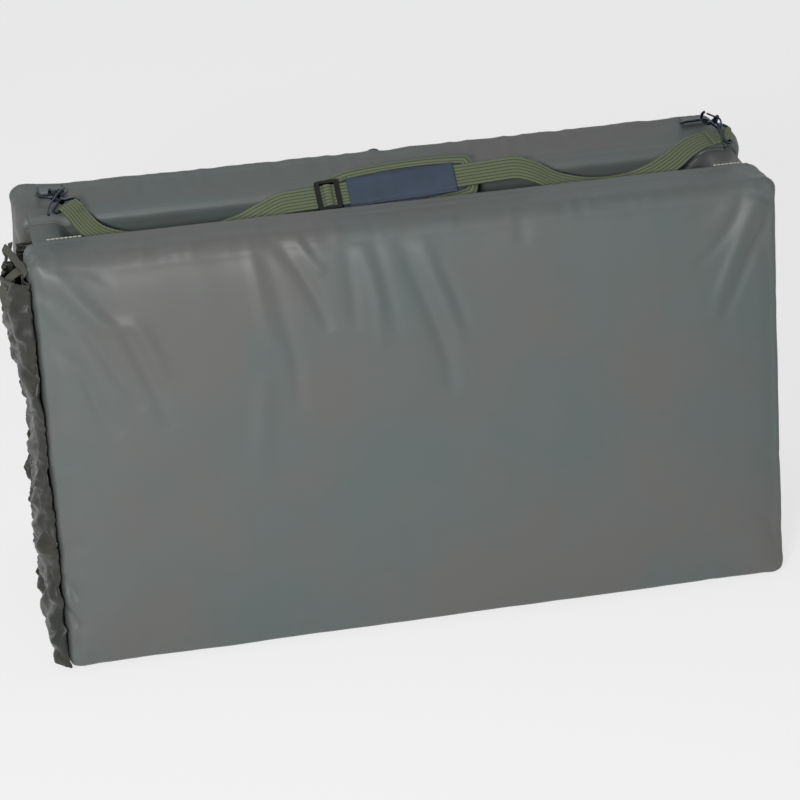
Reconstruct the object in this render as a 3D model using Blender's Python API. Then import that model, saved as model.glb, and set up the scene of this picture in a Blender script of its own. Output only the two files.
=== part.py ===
"""Unhooking mat: a two-panel padded mat that folds on a fabric web.

The mat stands as a tent on its two long free edges, with the fold at the top.
Axes: X along the fold, Y from the front panel to the rear panel, Z up.
Origin: middle of the footprint, on the floor. Units: metres.
"""

import math

import bmesh
import bpy
from mathutils import Matrix, Vector

# Panels
PANEL_LENGTH = 0.900
PANEL_HEIGHT = 0.507
PANEL_THICKNESS = 0.085
PANEL_CROWN = 0.006
CORNER_RADIUS = 0.022
OUTER_EDGE_RADIUS = 0.016
INNER_EDGE_RADIUS = 0.008
COVER_CLOTH = 0.0012
COVER_LIP = 0.014
FOOT_FLATTENING = 0.0008
FOAM_CLEARANCE = 0.0005
SEAM_GAP = 0.0003

# Fold
LEAN = math.radians(9.6)
FOLD_GAP = 0.055
HINGE_ABOVE_RIM = 0.024
WEB_CLOTH = 0.0012
WEB_END_MARGIN = 0.014
WEB_SEAM_WIDTH = 0.012
WEB_END_SAG = 0.006
WEB_MIDDLE_SAG = 0.050
WEB_TAUT_END = 0.030
WEB_SLOPE_LENGTH = 0.035

# End skirts
SKIRT_CLOTH = 0.0012
SKIRT_MIDDLE_GAP = 0.0090
SKIRT_INBOARD = 0.022
SKIRT_OUTBOARD = 0.011
SKIRT_TOP_DROP = 0.026
SKIRT_FLOOR_GAP = 0.008
SKIRT_HALF_PLEATS = 5
SKIRT_RUMPLE = 0.0028
SKIRT_SEAM_GAP = 0.0005
HEM_RADIUS = 0.0026
HEM_WIDTH = 0.009
HEM_CLOTH = 0.0016
HEM_TOP = (
    (0.0075, 0.0235, 0.0172),
    (0.0080, 0.0080, 0.0155),
    (0.0040, -0.0060, 0.0185),
    (0.0000, -0.0160, 0.0235),
    (0.0000, -0.0340, 0.0270),
)
CORNER_LOOP_REACH = 0.0120
CORNER_LOOP_DROP = 0.0720

# Shoulder strap
WEBBING_WIDTH = 0.030
WEBBING_THICKNESS = 0.0018
STRAP_LAYER_GAP = 0.0004
STRAP_FOLD_BACK = 0.028
STRAP_STRAIGHT_TILT = math.radians(40)
STRAIGHT_LEFT_REACH = 0.1282
STRAIGHT_LEFT_RISE = -0.0038
STRAIGHT_RIGHT_RISE = 0.0085
SLIDER_FROM_START = 0.0527
PAD_FROM_SLIDER = 0.0023
PAD_TRAVEL = 0.0310

# D-rings and their tabs
RING_FROM_END = 0.047
RING_BAR_DEPTH = 0.0530
RING_WIDTH = 0.0395
RING_REACH = 0.0250
RING_WIRE_RADIUS = 0.00175
TAB_WIDTH = 0.0305
TAB_CLOTH = 0.0014
TAB_LENGTH = 0.015
LOOP_GAP = 0.0004

# Snap hooks, measured from the middle of the eye bar towards the claw
EYE_WIRE_RADIUS = 0.0018
EYE_HALF_WIDTH = 0.0186
EYE_STRAIGHT_SIDE = 0.0080
COLLAR_START = 0.0135
COLLAR_LENGTH = 0.0044
COLLAR_RADIUS = 0.0036
POST_RADIUS = 0.0013
POST_CLEARANCE = 0.0003
POST_HEAD_RADIUS = 0.0023
POST_HEAD_LENGTH = 0.0012
FLANGE_RADIUS = 0.0034
FLANGE_LENGTH = 0.0105
CLAW_RADIUS = 0.0080
CLAW_WIRE_RADIUS = 0.0019
CLAW_TIP_ANGLE = math.radians(30)
CLAW_PULL = 0.0010
CLAW_DROP = 0.0038
GATE_PIVOT_SIDE = 0.0088
GATE_HUB_RADIUS = 0.0022
GATE_HALF_THICKNESS = 0.0013
GATE_BAR_RADIUS = 0.0012
GATE_TIP_GAP = 0.0005
GATE_PIN_RADIUS = 0.0008
GATE_PIN_CLEARANCE = 0.0003
EAR_THICKNESS = 0.0012
EAR_HALF_WIDTH = 0.0026
LEVER_LENGTH = 0.036
LEVER_RADIUS = 0.0012
LEVER_BALL_RADIUS = 0.0021

# Strap slider
SLIDER_LENGTH = 0.0290
SLIDER_RAIL = 0.0030
SLIDER_BAR_WIDTH = 0.0052
SLIDER_BAR_HEIGHT = 0.0026
SLIDER_CORNER = 0.0030
SLIDER_CLEARANCE = 0.0004
SLIDER_SIDE_CLEARANCE = 0.0008

# Shoulder pad
PAD_LENGTH = 0.163
PAD_WIDTH = 0.056
PAD_END_WIDTH = 0.036
PAD_EDGE_HEIGHT = 0.0080
BINDING_WIDTH = 0.0070
BINDING_CLOTH = 0.0012
PAD_CLEARANCE = 0.0004
PATCH_START = 0.0080
PATCH_END_MARGIN = 0.0230
PATCH_CLOTH = 0.0012
SLEEVE_SIDE_CLEARANCE = 0.0010

# Hanging tab on the back
HANGING_TAB_WIDTH = 0.022
HANGING_TAB_HEIGHT = 0.040
HANGING_TAB_THICKNESS = 0.0030
HANGING_TAB_ABOVE_EDGE = 0.0075

# How finely curves are drawn
CORNER_STEPS = 3
LONG_SIDE_STEPS = 7
SHORT_SIDE_STEPS = 4
RIBBON_STEPS = 4
WRAP_STEPS = 6
WIRE_SIDES = 8
HEM_SIDES = 6

# Derived positions
FOOT_ARC_ANGLES = (0.0, 22.5, 45.0, 90.0)
WALL_DEPTH = COVER_CLOTH + SEAM_GAP
FOOT_DEPTH_EXTRA = 0.0045


def foot_level():
    """Height above the panel's own corner at which the bottom edge is flattened."""
    lowest = (WALL_DEPTH + INNER_EDGE_RADIUS) * math.sin(LEAN)
    return lowest + FOOT_FLATTENING


FOOT_LEVEL = foot_level()
RIM_HEIGHT = PANEL_HEIGHT * math.cos(LEAN) - FOOT_LEVEL
HALF_GAP = FOLD_GAP / 2
FOOT_OFFSET = HALF_GAP + PANEL_HEIGHT * math.sin(LEAN)
HALF_LENGTH = PANEL_LENGTH / 2
HINGE_POINT = Vector((0, 0, RIM_HEIGHT + HINGE_ABOVE_RIM))
RING_CENTRE_OFFSET = HALF_LENGTH - RING_FROM_END
WRAP_RADIUS = EYE_WIRE_RADIUS + LOOP_GAP + WEBBING_THICKNESS / 2
TAB_WRAP_RADIUS = RING_WIRE_RADIUS + LOOP_GAP + TAB_CLOTH / 2


def top_face_height(y):
    """World height of the rear panel's top face at a distance y from the fold plane."""
    return RIM_HEIGHT + (y - HALF_GAP) * math.tan(LEAN)


RING_BAR_Y = HALF_GAP + RING_BAR_DEPTH
RING_BAR_Z = top_face_height(RING_BAR_Y) + SEAM_GAP + TAB_CLOTH / 2 + TAB_WRAP_RADIUS + LOOP_GAP
STRAP_AXIS = Vector((0, RING_BAR_Y, RING_BAR_Z))

# Strap route at each hook, as shares of the panel's thickness: back from the ring's middle, out from
# the fold plane and above the rim, then the heading and the rise of the webbing's width in degrees.
LEFT_HOOK_END_SHARES = (
    (0.315, 0.150, 0.095, 46, 8),
    (0.442, -0.010, -0.030, 50, 14),
    (0.612, -0.080, -0.150, 56, 22),
)
RIGHT_HOOK_END_SHARES = (
    (0.056, 0.430, 0.072, 78, 12),
    (0.321, 0.280, 0.035, 80, 20),
    (0.585, 0.120, -0.060, 82, 28),
)

# The route from there to the straight run: the share of the way left to go, then as above.
LEFT_RUN_SHARES = (
    (0.889, -0.100, -0.250, 66, 30),
    (0.717, -0.060, -0.300, 78, 38),
    (0.475, -0.010, -0.290, 86, 40),
    (0.273, 0.040, -0.200, 90, 40),
    (0.131, 0.095, -0.110, 90, 40),
)
RIGHT_RUN_SHARES = (
    (0.876, 0.010, -0.170, 82, 32),
    (0.711, -0.020, -0.260, 84, 28),
    (0.516, -0.040, -0.250, 86, 32),
    (0.334, -0.010, -0.130, 88, 34),
    (0.206, 0.075, 0.030, 90, 38),
    (0.107, 0.130, 0.105, 90, 40),
)
STRAIGHT_Y_SHARE = 0.141

# Hook poses: heading and rise of the hook's axis, swivel turn about it, heading of the eye bar,
# and where the ring's wire is caught as a share of the ring's half width.
LEFT_HOOK_POSE = {
    "heading": 115, "rise": 6, "swivel": 0, "bar_heading": 38, "bar_rise": 6, "catch_share": 0.02,
}
RIGHT_HOOK_POSE = {
    "heading": 136, "rise": 30, "swivel": 0, "bar_heading": 76, "bar_rise": 9, "catch_share": 0.50,
}
LEFT_RING_LIFT = math.radians(8)
RIGHT_RING_LIFT = math.radians(28)

# Thumb lever of the gate, from its hub: along the hook, across it and sideways, as shares of its length.
LEVER_SHARES = (
    (-0.11, 0.04, 0.00),
    (-0.24, 0.06, -0.12),
    (-0.42, 0.03, -0.34),
    (-0.56, -0.03, -0.58),
    (-0.80, -0.08, -0.80),
    (-1.00, -0.12, -0.92),
)

COLOURS = {
    "cover": (0.142, 0.155, 0.150),
    "cover_inside": (0.110, 0.120, 0.112),
    "foam": (0.62, 0.62, 0.58),
    "skirt": (0.095, 0.095, 0.078),
    "webbing": (0.115, 0.150, 0.075),
    "metal": (0.045, 0.055, 0.085),
    "slider": (0.020, 0.021, 0.022),
    "pad_face": (0.046, 0.066, 0.098),
}


def clear_scene():
    for obj in list(bpy.data.objects):
        bpy.data.objects.remove(obj, do_unlink=True)


def material(name, colour, roughness=0.7, metallic=0.0):
    found = bpy.data.materials.get(name)
    if found:
        return found
    made = bpy.data.materials.new(name)
    made.use_nodes = True
    shader = made.node_tree.nodes["Principled BSDF"]
    shader.inputs["Base Color"].default_value = (*colour, 1.0)
    shader.inputs["Roughness"].default_value = roughness
    shader.inputs["Metallic"].default_value = metallic
    return made


FINISHES = {
    "cover": lambda: material("coated_polyester", COLOURS["cover"], 0.45),
    "inside": lambda: material("lying_surface_cloth", COLOURS["cover_inside"], 0.6),
    "foam": lambda: material("foam", COLOURS["foam"], 0.9),
    "skirt": lambda: material("skirt_nylon", COLOURS["skirt"], 0.55),
    "webbing": lambda: material("polypropylene_webbing", COLOURS["webbing"], 0.75),
    "metal": lambda: material("black_nickel", COLOURS["metal"], 0.3, 0.9),
    "slider": lambda: material("moulded_acetal", COLOURS["slider"], 0.35),
    "pad": lambda: material("pad_face_cloth", COLOURS["pad_face"], 0.6),
}


def empty(name, location, rotation=(0, 0, 0), parent=None):
    made = bpy.data.objects.new(name, None)
    bpy.context.collection.objects.link(made)
    made.parent = parent
    made.location = location
    made.rotation_euler = rotation
    return made


def add_object(name, data, finish, parent=None, location=(0, 0, 0), smooth=True):
    made = bpy.data.objects.new(name, data)
    bpy.context.collection.objects.link(made)
    made.parent = parent
    made.location = location
    data.materials.append(FINISHES[finish]())
    if smooth and data.__class__.__name__ == "Mesh":
        data.shade_smooth()
        data.set_sharp_from_angle(angle=math.radians(38))
    return made


def mesh_from(name, vertices, faces):
    data = bpy.data.meshes.new(name)
    data.from_pydata([tuple(v) for v in vertices], [], faces)
    work = bmesh.new()
    work.from_mesh(data)
    bmesh.ops.recalc_face_normals(work, faces=work.faces)
    work.to_mesh(data)
    work.free()
    return data


def solidify(obj, thickness, offset, even=True):
    made = obj.modifiers.new("cloth_thickness", "SOLIDIFY")
    made.thickness = thickness
    made.offset = offset
    made.use_even_offset = even
    return made


def combine(target, tool, operation):
    """Adds a Boolean of a hidden tool object to the target."""
    tool.hide_render = True
    tool.display_type = "WIRE"
    made = target.modifiers.new(tool.name, "BOOLEAN")
    made.operation = operation
    made.object = tool
    made.solver = "EXACT"


def rounded_outline(half_x, half_z, radius):
    """Points of a rounded rectangle about the origin, in order, as (x, z) pairs."""
    radius = min(radius, half_x, half_z)
    corners = ((1, 1, 0), (-1, 1, 90), (-1, -1, 180), (1, -1, 270))
    points = []
    for index, (sx, sz, start) in enumerate(corners):
        centre = Vector((sx * (half_x - radius), sz * (half_z - radius)))
        arc = []
        for step in range(CORNER_STEPS + 1):
            angle = math.radians(start + 90 * step / CORNER_STEPS)
            arc.append(centre + radius * Vector((math.cos(angle), math.sin(angle))))
        points.extend(arc)
        nx, nz, after = corners[(index + 1) % 4]
        following = Vector((nx * (half_x - radius), nz * (half_z - radius)))
        angle = math.radians(after)
        goal = following + radius * Vector((math.cos(angle), math.sin(angle)))
        steps = LONG_SIDE_STEPS if index % 2 == 0 else SHORT_SIDE_STEPS
        for step in range(1, steps):
            points.append(arc[-1].lerp(goal, step / steps))
    return points


def panel_ring(inset, depth):
    """One closed ring of a panel: inset from its outline, at a depth from its inner face."""
    half_x = HALF_LENGTH - inset
    half_z = PANEL_HEIGHT / 2 - inset
    radius = max(CORNER_RADIUS - inset, CORNER_RADIUS / 4)
    ring = []
    for x, z in rounded_outline(half_x, half_z, radius):
        ring.append(Vector((x, -depth, z + PANEL_HEIGHT / 2)))
    return ring


def stood_on_floor(point, level):
    """Moves a point below the flattened foot straight up onto it, as standing does."""
    height = -point.y * math.sin(LEAN) + point.z * math.cos(LEAN)
    if height >= level:
        return point
    rise = level - height
    return point + Vector((0, -math.sin(LEAN), math.cos(LEAN))) * rise


def loft(rings, cap_first, cap_last, closed_rings=False):
    vertices = [v for ring in rings for v in ring]
    count = len(rings[0])
    faces = []
    last = len(rings) if closed_rings else len(rings) - 1
    for row in range(last):
        low = row * count
        high = ((row + 1) % len(rings)) * count
        for column in range(count):
            following = (column + 1) % count
            faces.append((low + column, low + following, high + following, high + column))
    if cap_first:
        faces.append(tuple(range(count)))
    if cap_last:
        start = (len(rings) - 1) * count
        faces.append(tuple(range(start, start + count)))
    return vertices, faces


CROWN_SHARES = ((0.30, 1.0), (0.19, 0.86), (0.09, 0.50))


def outer_half_rings(shrink):
    """Rings from the middle of the outer face to the middle of the side walls."""
    rings = []
    for inset_share, crown_share in CROWN_SHARES:
        depth = PANEL_THICKNESS + PANEL_CROWN * crown_share - shrink
        rings.append((PANEL_HEIGHT * inset_share, depth))
    radius = OUTER_EDGE_RADIUS - shrink
    for angle in (90, 50, 0):
        turn = math.radians(angle)
        inset = shrink + radius * (1 - math.cos(turn))
        depth = PANEL_THICKNESS - OUTER_EDGE_RADIUS + radius * math.sin(turn)
        rings.append((inset, depth))
    rings.append((shrink, PANEL_THICKNESS / 2))
    return rings


def inner_half_rings(shrink):
    """Rings down the side walls and round the inner edge."""
    radius = INNER_EDGE_RADIUS - shrink
    centre = WALL_DEPTH + INNER_EDGE_RADIUS
    rings = [(shrink, centre + FOOT_DEPTH_EXTRA)]
    for angle in FOOT_ARC_ANGLES:
        turn = math.radians(angle)
        rings.append((shrink + radius * (1 - math.cos(turn)), centre - radius * math.sin(turn)))
    return rings


def panel_cover_mesh(name):
    profile = outer_half_rings(0) + inner_half_rings(0)
    profile.append((INNER_EDGE_RADIUS + COVER_LIP, WALL_DEPTH))
    rings = []
    for inset, depth in profile:
        rings.append([stood_on_floor(p, FOOT_LEVEL) for p in panel_ring(inset, depth)])
    vertices, faces = loft(rings, True, False)
    data = bpy.data.meshes.new(name)
    data.from_pydata([tuple(v) for v in vertices], [], faces)
    work = bmesh.new()
    work.from_mesh(data)
    bmesh.ops.recalc_face_normals(work, faces=work.faces)
    middle = min(work.faces, key=lambda f: f.calc_center_median().y)
    if middle.normal.y > 0:
        bmesh.ops.reverse_faces(work, faces=work.faces)
    work.to_mesh(data)
    work.free()
    return data


def panel_foam_mesh(name):
    shrink = COVER_CLOTH + FOAM_CLEARANCE
    profile = outer_half_rings(shrink) + inner_half_rings(shrink)
    inner_depth = WALL_DEPTH + shrink
    profile.append((INNER_EDGE_RADIUS + COVER_LIP, inner_depth))
    profile.append((PANEL_HEIGHT * CROWN_SHARES[0][0], inner_depth))
    level = FOOT_LEVEL + shrink
    rings = []
    for inset, depth in profile:
        rings.append([stood_on_floor(p, level) for p in panel_ring(inset, depth)])
    return mesh_from(name, *loft(rings, True, True))


def lying_sheet_mesh(name):
    """The lying surface: a sheet sewn over the cover's turned-in lip."""
    edge = INNER_EDGE_RADIUS + COVER_CLOTH
    depth = COVER_CLOTH
    profile = (
        (PANEL_HEIGHT * CROWN_SHARES[0][0], depth),
        (edge, depth),
        (edge, 0),
        (PANEL_HEIGHT * CROWN_SHARES[0][0], 0),
    )
    rings = [panel_ring(inset, at) for inset, at in profile]
    return mesh_from(name, *loft(rings, True, True))


def build_panel(side, frame):
    """Cover, foam and lying sheet of one panel in its own frame."""
    cover = add_object(side + "_cover", panel_cover_mesh(side + "_cover"), "cover", frame)
    solidify(cover, COVER_CLOTH, -1)
    add_object(side + "_foam", panel_foam_mesh(side + "_foam"), "foam", frame)
    add_object(side + "_lying_sheet", lying_sheet_mesh(side + "_lying_sheet"), "inside", frame)


def web_sag(x):
    """How far the fold web hangs below the rim at a place along the fold."""
    from_end = HALF_LENGTH - WEB_END_MARGIN - abs(x) - WEB_TAUT_END
    share = min(max(from_end / WEB_SLOPE_LENGTH, 0), 1)
    eased = share * share * (3 - 2 * share)
    return WEB_END_SAG + (WEB_MIDDLE_SAG - WEB_END_SAG) * eased


def web_section(x):
    """Half of the web's section from its seam on the rear panel to the fold plane."""
    lift = SEAM_GAP + WEB_CLOTH / 2
    depth_unit = Vector((math.cos(LEAN), math.sin(LEAN)))
    up_unit = Vector((-math.sin(LEAN), math.cos(LEAN)))
    rim = Vector((HALF_GAP, RIM_HEIGHT))
    points = []
    seam_end = WALL_DEPTH + INNER_EDGE_RADIUS + WEB_SEAM_WIDTH
    for depth in (seam_end, WALL_DEPTH + INNER_EDGE_RADIUS):
        points.append(rim + depth_unit * depth + up_unit * lift)
    centre = rim + depth_unit * (WALL_DEPTH + INNER_EDGE_RADIUS) - up_unit * INNER_EDGE_RADIUS
    radius = INNER_EDGE_RADIUS + lift
    for angle in WEB_EDGE_ANGLES:
        turn = math.radians(angle)
        points.append(centre - depth_unit * radius * math.sin(turn) + up_unit * radius * math.cos(turn))
    sag = web_sag(x)
    beside = depth_unit * (lift + SEAM_GAP)
    shoulder = min(sag * SAG_SIDE_SHARE, WALL_DEPTH + INNER_EDGE_RADIUS)
    hang = max(sag * SAG_HANG_SHARE, shoulder * SAG_STEP_SHARE)
    points.append(rim - up_unit * shoulder - beside)
    points.append(rim - up_unit * hang - beside)
    bend = points[-1].x * SAG_BEND_SHARE
    points.append(Vector((bend, RIM_HEIGHT - max(sag * SAG_DEPTH_SHARE, hang * SAG_STEP_SHARE))))
    points.append(Vector((0, RIM_HEIGHT - sag)))
    return points


WEB_EDGE_ANGLES = (25, 50)
SAG_HANG_SHARE = 0.62
SAG_STEP_SHARE = 1.15
SAG_SIDE_SHARE = 0.5
SAG_BEND_SHARE = 0.6
SAG_DEPTH_SHARE = 0.90
WEB_STATION_SHARES = (0, 0.3, 0.6, 0.8, 0.852, 0.88, 0.905, 0.932, 1.0)


def build_fold_web():
    half = HALF_LENGTH - WEB_END_MARGIN
    stations = [-half * s for s in reversed(WEB_STATION_SHARES[1:])]
    stations += [half * s for s in WEB_STATION_SHARES]
    grid = []
    for x in stations:
        rear = web_section(x)
        front = [Vector((-p.x, p.y)) for p in reversed(rear[:-1])]
        grid.append([Vector((x, p.x, p.y)) for p in rear + front])
    data = open_grid_mesh("fold_web", grid)
    web = add_object("fold_web", data, "cover")
    solidify(web, WEB_CLOTH, 0)


def open_grid_mesh(name, grid):
    vertices = [v for row in grid for v in row]
    columns = len(grid[0])
    faces = []
    for row in range(len(grid) - 1):
        for column in range(columns - 1):
            low = row * columns + column
            high = low + columns
            faces.append((low, low + 1, high + 1, high))
    return mesh_from(name, vertices, faces)


PLEAT_ROWS = 12
PLEAT_COLUMNS = 3


def skirt_reach(z):
    """How far a half skirt reaches from its panel's inner face at a height in the panel."""
    return HALF_GAP + (PANEL_HEIGHT - z) * math.tan(LEAN) - SKIRT_MIDDLE_GAP


def skirt_point(side, across, down, phase):
    """Point of a pleated end skirt, in the frame of the panel that carries it."""
    top = PANEL_HEIGHT - SKIRT_TOP_DROP
    near = SKIRT_SEAM_GAP + SKIRT_CLOTH / 3
    guess = skirt_reach(top * (1 - down)) * across
    lowest = (FOOT_LEVEL + SKIRT_FLOOR_GAP + guess * math.sin(LEAN)) / math.cos(LEAN)
    z = lowest + (top - lowest) * (1 - down)
    y = near + (skirt_reach(z) - near) * across
    swing = (1 - math.cos(math.pi * SKIRT_HALF_PLEATS * across)) / 2
    rumple = SKIRT_RUMPLE * math.sin(RUMPLE_WAVES * math.pi * down + phase + 2 * across)
    bulge = SKIRT_BULGE_SHARE + (1 - SKIRT_BULGE_SHARE) * math.sin(BULGE_WAVES * math.pi * down + phase) / 2
    x = HALF_LENGTH - SKIRT_INBOARD + (SKIRT_INBOARD + SKIRT_OUTBOARD * bulge) * swing + rumple * across
    return Vector((side * x, y, z))


SKIRT_BULGE_SHARE = 0.5
RUMPLE_WAVES = 5
BULGE_WAVES = 3


def build_skirt(name, side, frame, phase):
    columns = SKIRT_HALF_PLEATS * PLEAT_COLUMNS
    grid = []
    for row in range(PLEAT_ROWS + 1):
        down = row / PLEAT_ROWS
        line = []
        for column in range(columns + 1):
            line.append(skirt_point(side, column / columns, down, phase))
        grid.append(line)
    skirt = add_object(name, open_grid_mesh(name, grid), "skirt", frame)
    solidify(skirt, SKIRT_CLOTH, 0, False)


def tube(name, points, radius, finish, parent=None, cyclic=False, sides=WIRE_SIDES):
    """A round bar along a line of points, with its ends closed unless it is a ring."""
    count = len(points)
    reference = None
    rings = []
    for index in range(count):
        if cyclic:
            ahead = points[(index + 1) % count]
            behind = points[index - 1]
        else:
            ahead = points[min(index + 1, count - 1)]
            behind = points[max(index - 1, 0)]
        along = (ahead - behind).normalized()
        if reference is None:
            reference = along.orthogonal()
        reference = (reference - along * reference.dot(along)).normalized()
        other = along.cross(reference)
        ring = []
        for side in range(sides):
            angle = 2 * math.pi * side / sides
            ring.append(points[index] + radius * (reference * math.cos(angle) + other * math.sin(angle)))
        rings.append(ring)
    data = mesh_from(name, *loft(rings, not cyclic, not cyclic, cyclic))
    return add_object(name, data, finish, parent)


def smooth_line(points, steps):
    """Points along a Catmull-Rom curve through the given points, ends included."""
    line = []
    last = len(points) - 1
    for index in range(last):
        before = points[max(index - 1, 0)]
        start = points[index]
        end = points[index + 1]
        after = points[min(index + 2, last)]
        for step in range(steps):
            t = step / steps
            line.append(
                0.5 * (2 * start + (end - before) * t
                       + (2 * before - 5 * start + 4 * end - after) * t * t
                       + (3 * start - before - 3 * end + after) * t * t * t)
            )
    line.append(points[last])
    return line


def ribbon(name, centres, widths, width, thickness, finish, parent=None, origin=Vector((0, 0, 0))):
    """A flat band along a line: each centre has the direction of the band's width there."""
    rings = []
    count = len(centres)
    for index in range(count):
        ahead = centres[min(index + 1, count - 1)]
        behind = centres[max(index - 1, 0)]
        along = (ahead - behind).normalized()
        across = widths[index] - along * widths[index].dot(along)
        across.normalize()
        normal = along.cross(across).normalized()
        side = across * width / 2
        face = normal * thickness / 2
        centre = centres[index] - origin
        rings.append([centre + side + face, centre - side + face, centre - side - face,
                      centre + side - face])
    return add_object(name, mesh_from(name, *loft(rings, True, True)), finish, parent)


def heading_vector(heading, rise):
    """Unit vector from a heading about Z and a rise above the floor, in degrees."""
    turn = math.radians(heading)
    lift = math.radians(rise)
    return Vector((math.cos(turn) * math.cos(lift), math.sin(turn) * math.cos(lift), math.sin(lift)))


def ring_curve(sign, lift):
    """Centre line of a D-ring about its bar: the straight bar, then the bow."""
    half = RING_WIDTH / 2 - RING_WIRE_RADIUS
    points = []
    bow_steps = 14
    for step in range(bow_steps + 1):
        angle = math.pi * step / bow_steps
        reach = (RING_REACH - RING_WIRE_RADIUS) * math.sin(angle) ** 0.8
        points.append(ring_point(half * math.cos(angle), reach, lift))
    centre = Vector((sign * RING_CENTRE_OFFSET, 0, 0))
    return [p + centre for p in points]


def ring_point(across, reach, lift):
    return Vector((across, -reach * math.cos(lift), reach * math.sin(lift)))


def ring_catch(sign, share, lift):
    """World point of the ring's wire where a hook holds it."""
    half = RING_WIDTH / 2 - RING_WIRE_RADIUS
    angle = math.acos(share)
    reach = (RING_REACH - RING_WIRE_RADIUS) * math.sin(angle) ** 0.8
    across = half * share
    return STRAP_AXIS + Vector((sign * RING_CENTRE_OFFSET, 0, 0)) + ring_point(across, reach, lift)


def build_ring_and_tab(side, sign, lift, strap_frame):
    tube(side + "_d_ring", ring_curve(sign, lift), RING_WIRE_RADIUS, "metal", strap_frame, True)
    centre = STRAP_AXIS + Vector((sign * RING_CENTRE_OFFSET, 0, 0))
    lean = Vector((0, math.cos(LEAN), math.sin(LEAN)))
    up = Vector((0, -math.sin(LEAN), math.cos(LEAN)))
    line = []
    far = TAB_LENGTH
    low = centre - up * TAB_WRAP_RADIUS
    high = centre + up * TAB_WRAP_RADIUS
    line.append(low + lean * far)
    for step in range(WRAP_STEPS + 1):
        turn = math.pi * step / WRAP_STEPS
        line.append(centre - up * TAB_WRAP_RADIUS * math.cos(turn)
                    - lean * TAB_WRAP_RADIUS * math.sin(turn))
    settled = low + up * (TAB_CLOTH + SEAM_GAP)
    line.append(settled + lean * far * TAB_SETTLE_SHARE)
    line.append(settled + lean * far)
    widths = [Vector((1, 0, 0))] * len(line)
    ribbon(side + "_ring_tab", line, widths, TAB_WIDTH, TAB_CLOTH, "cover")
    return high


TAB_SETTLE_SHARE = 0.72


def hook_matrix(sign, pose, lift):
    """Frame of a hook: X towards the claw, Y to the gate's side, origin in the eye bar."""
    along = heading_vector(pose["heading"], pose["rise"])
    up = Vector((0, 0, 1))
    gate_side = (up - along * along.dot(up)).normalized()
    turned = Matrix.Rotation(math.radians(pose["swivel"]), 3, along) @ gate_side
    sideways = along.cross(turned).normalized()
    basis = Matrix((along, turned, sideways)).transposed()
    catch = Vector((CLAW_CENTRE + CLAW_PULL, -CLAW_DROP, 0))
    place = ring_catch(sign, pose["catch_share"], lift) - basis @ catch
    return Matrix.Translation(place) @ basis.to_4x4()


FLANGE_START = COLLAR_START + COLLAR_LENGTH + POST_CLEARANCE
CLAW_CENTRE = FLANGE_START + FLANGE_LENGTH + CLAW_RADIUS - CLAW_WIRE_RADIUS


def turned(name, profile, parent, finish, segments=12):
    """A turned piece about X from a profile of places along it and radii."""
    rings = []
    for x, radius in profile:
        ring = []
        for index in range(segments):
            angle = 2 * math.pi * (index + HALF_STEP) / segments
            ring.append(Vector((x, radius * math.cos(angle), radius * math.sin(angle))))
        rings.append(ring)
    return add_object(name, mesh_from(name, *loft(rings, True, True)), finish, parent)


HALF_STEP = 0.5


def pin_along_z(name, radius, centre, half_length, parent, finish, segments=12):
    rings = []
    for z in (-half_length, half_length):
        ring = []
        for index in range(segments):
            angle = 2 * math.pi * index / segments
            flat = Vector((radius * math.cos(angle), radius * math.sin(angle), z))
            ring.append(centre + flat)
        rings.append(ring)
    return add_object(name, mesh_from(name, *loft(rings, True, True)), finish, parent)


def capsule_plate(name, start, end, half_width, z_low, z_high, parent, finish):
    """A flat link with round ends between two centres, thick along Z."""
    along = (end - start).normalized()
    across = Vector((-along.y, along.x, 0))
    steps = 6
    outline = []
    for centre, first in ((end, -90), (start, 90)):
        for step in range(steps + 1):
            angle = math.radians(first + 180 * step / steps)
            outline.append(centre + half_width * (along * math.cos(angle) + across * math.sin(angle)))
    rings = []
    for z in (z_low, z_high):
        rings.append([Vector((p.x, p.y, z)) for p in outline])
    return add_object(name, mesh_from(name, *loft(rings, True, True)), finish, parent)


def build_eye(side, bar_direction, frame):
    """Strap eye: the bar that the webbing goes round, its sides and the swivel collar."""
    reach = Vector((bar_direction.y, -bar_direction.x, 0))
    if reach.x < 0:
        reach = -reach
    flat = [
        Vector((COLLAR_START + COLLAR_LENGTH / 2, COLLAR_RADIUS * 0.8, 0)),
        bar_direction * EYE_HALF_WIDTH + reach * EYE_STRAIGHT_SIDE,
        bar_direction * EYE_HALF_WIDTH,
        bar_direction * -EYE_HALF_WIDTH,
        bar_direction * -EYE_HALF_WIDTH + reach * EYE_STRAIGHT_SIDE,
        Vector((COLLAR_START + COLLAR_LENGTH / 2, -COLLAR_RADIUS * 0.8, 0)),
    ]
    line = round_corners(flat, EYE_CORNER)
    eye = tube(side + "_hook_eye", line, EYE_WIRE_RADIUS, "metal", frame)
    collar_end = COLLAR_START + COLLAR_LENGTH
    collar = turned(side + "_collar_form", ((COLLAR_START, COLLAR_RADIUS), (collar_end, COLLAR_RADIUS)),
                    frame, "metal")
    bore_radius = POST_RADIUS + POST_CLEARANCE
    bore = turned(side + "_collar_bore", ((COLLAR_START - BORE_OVERRUN, bore_radius),
                                          (collar_end + BORE_OVERRUN, bore_radius)), frame, "metal")
    combine(eye, collar, "UNION")
    combine(eye, bore, "DIFFERENCE")


EYE_CORNER = 0.0022
BORE_OVERRUN = 0.0020


def round_corners(points, radius):
    """Cuts each inner corner of a line with three points of a small bend."""
    line = [points[0]]
    for index in range(1, len(points) - 1):
        corner = points[index]
        back = points[index - 1] - corner
        forth = points[index + 1] - corner
        cut = min(radius, back.length / 2.2, forth.length / 2.2)
        start = corner + back.normalized() * cut
        end = corner + forth.normalized() * cut
        line.append(start)
        line.append((start + end) / 4 + corner / 2)
        line.append(end)
    line.append(points[-1])
    return line


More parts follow.
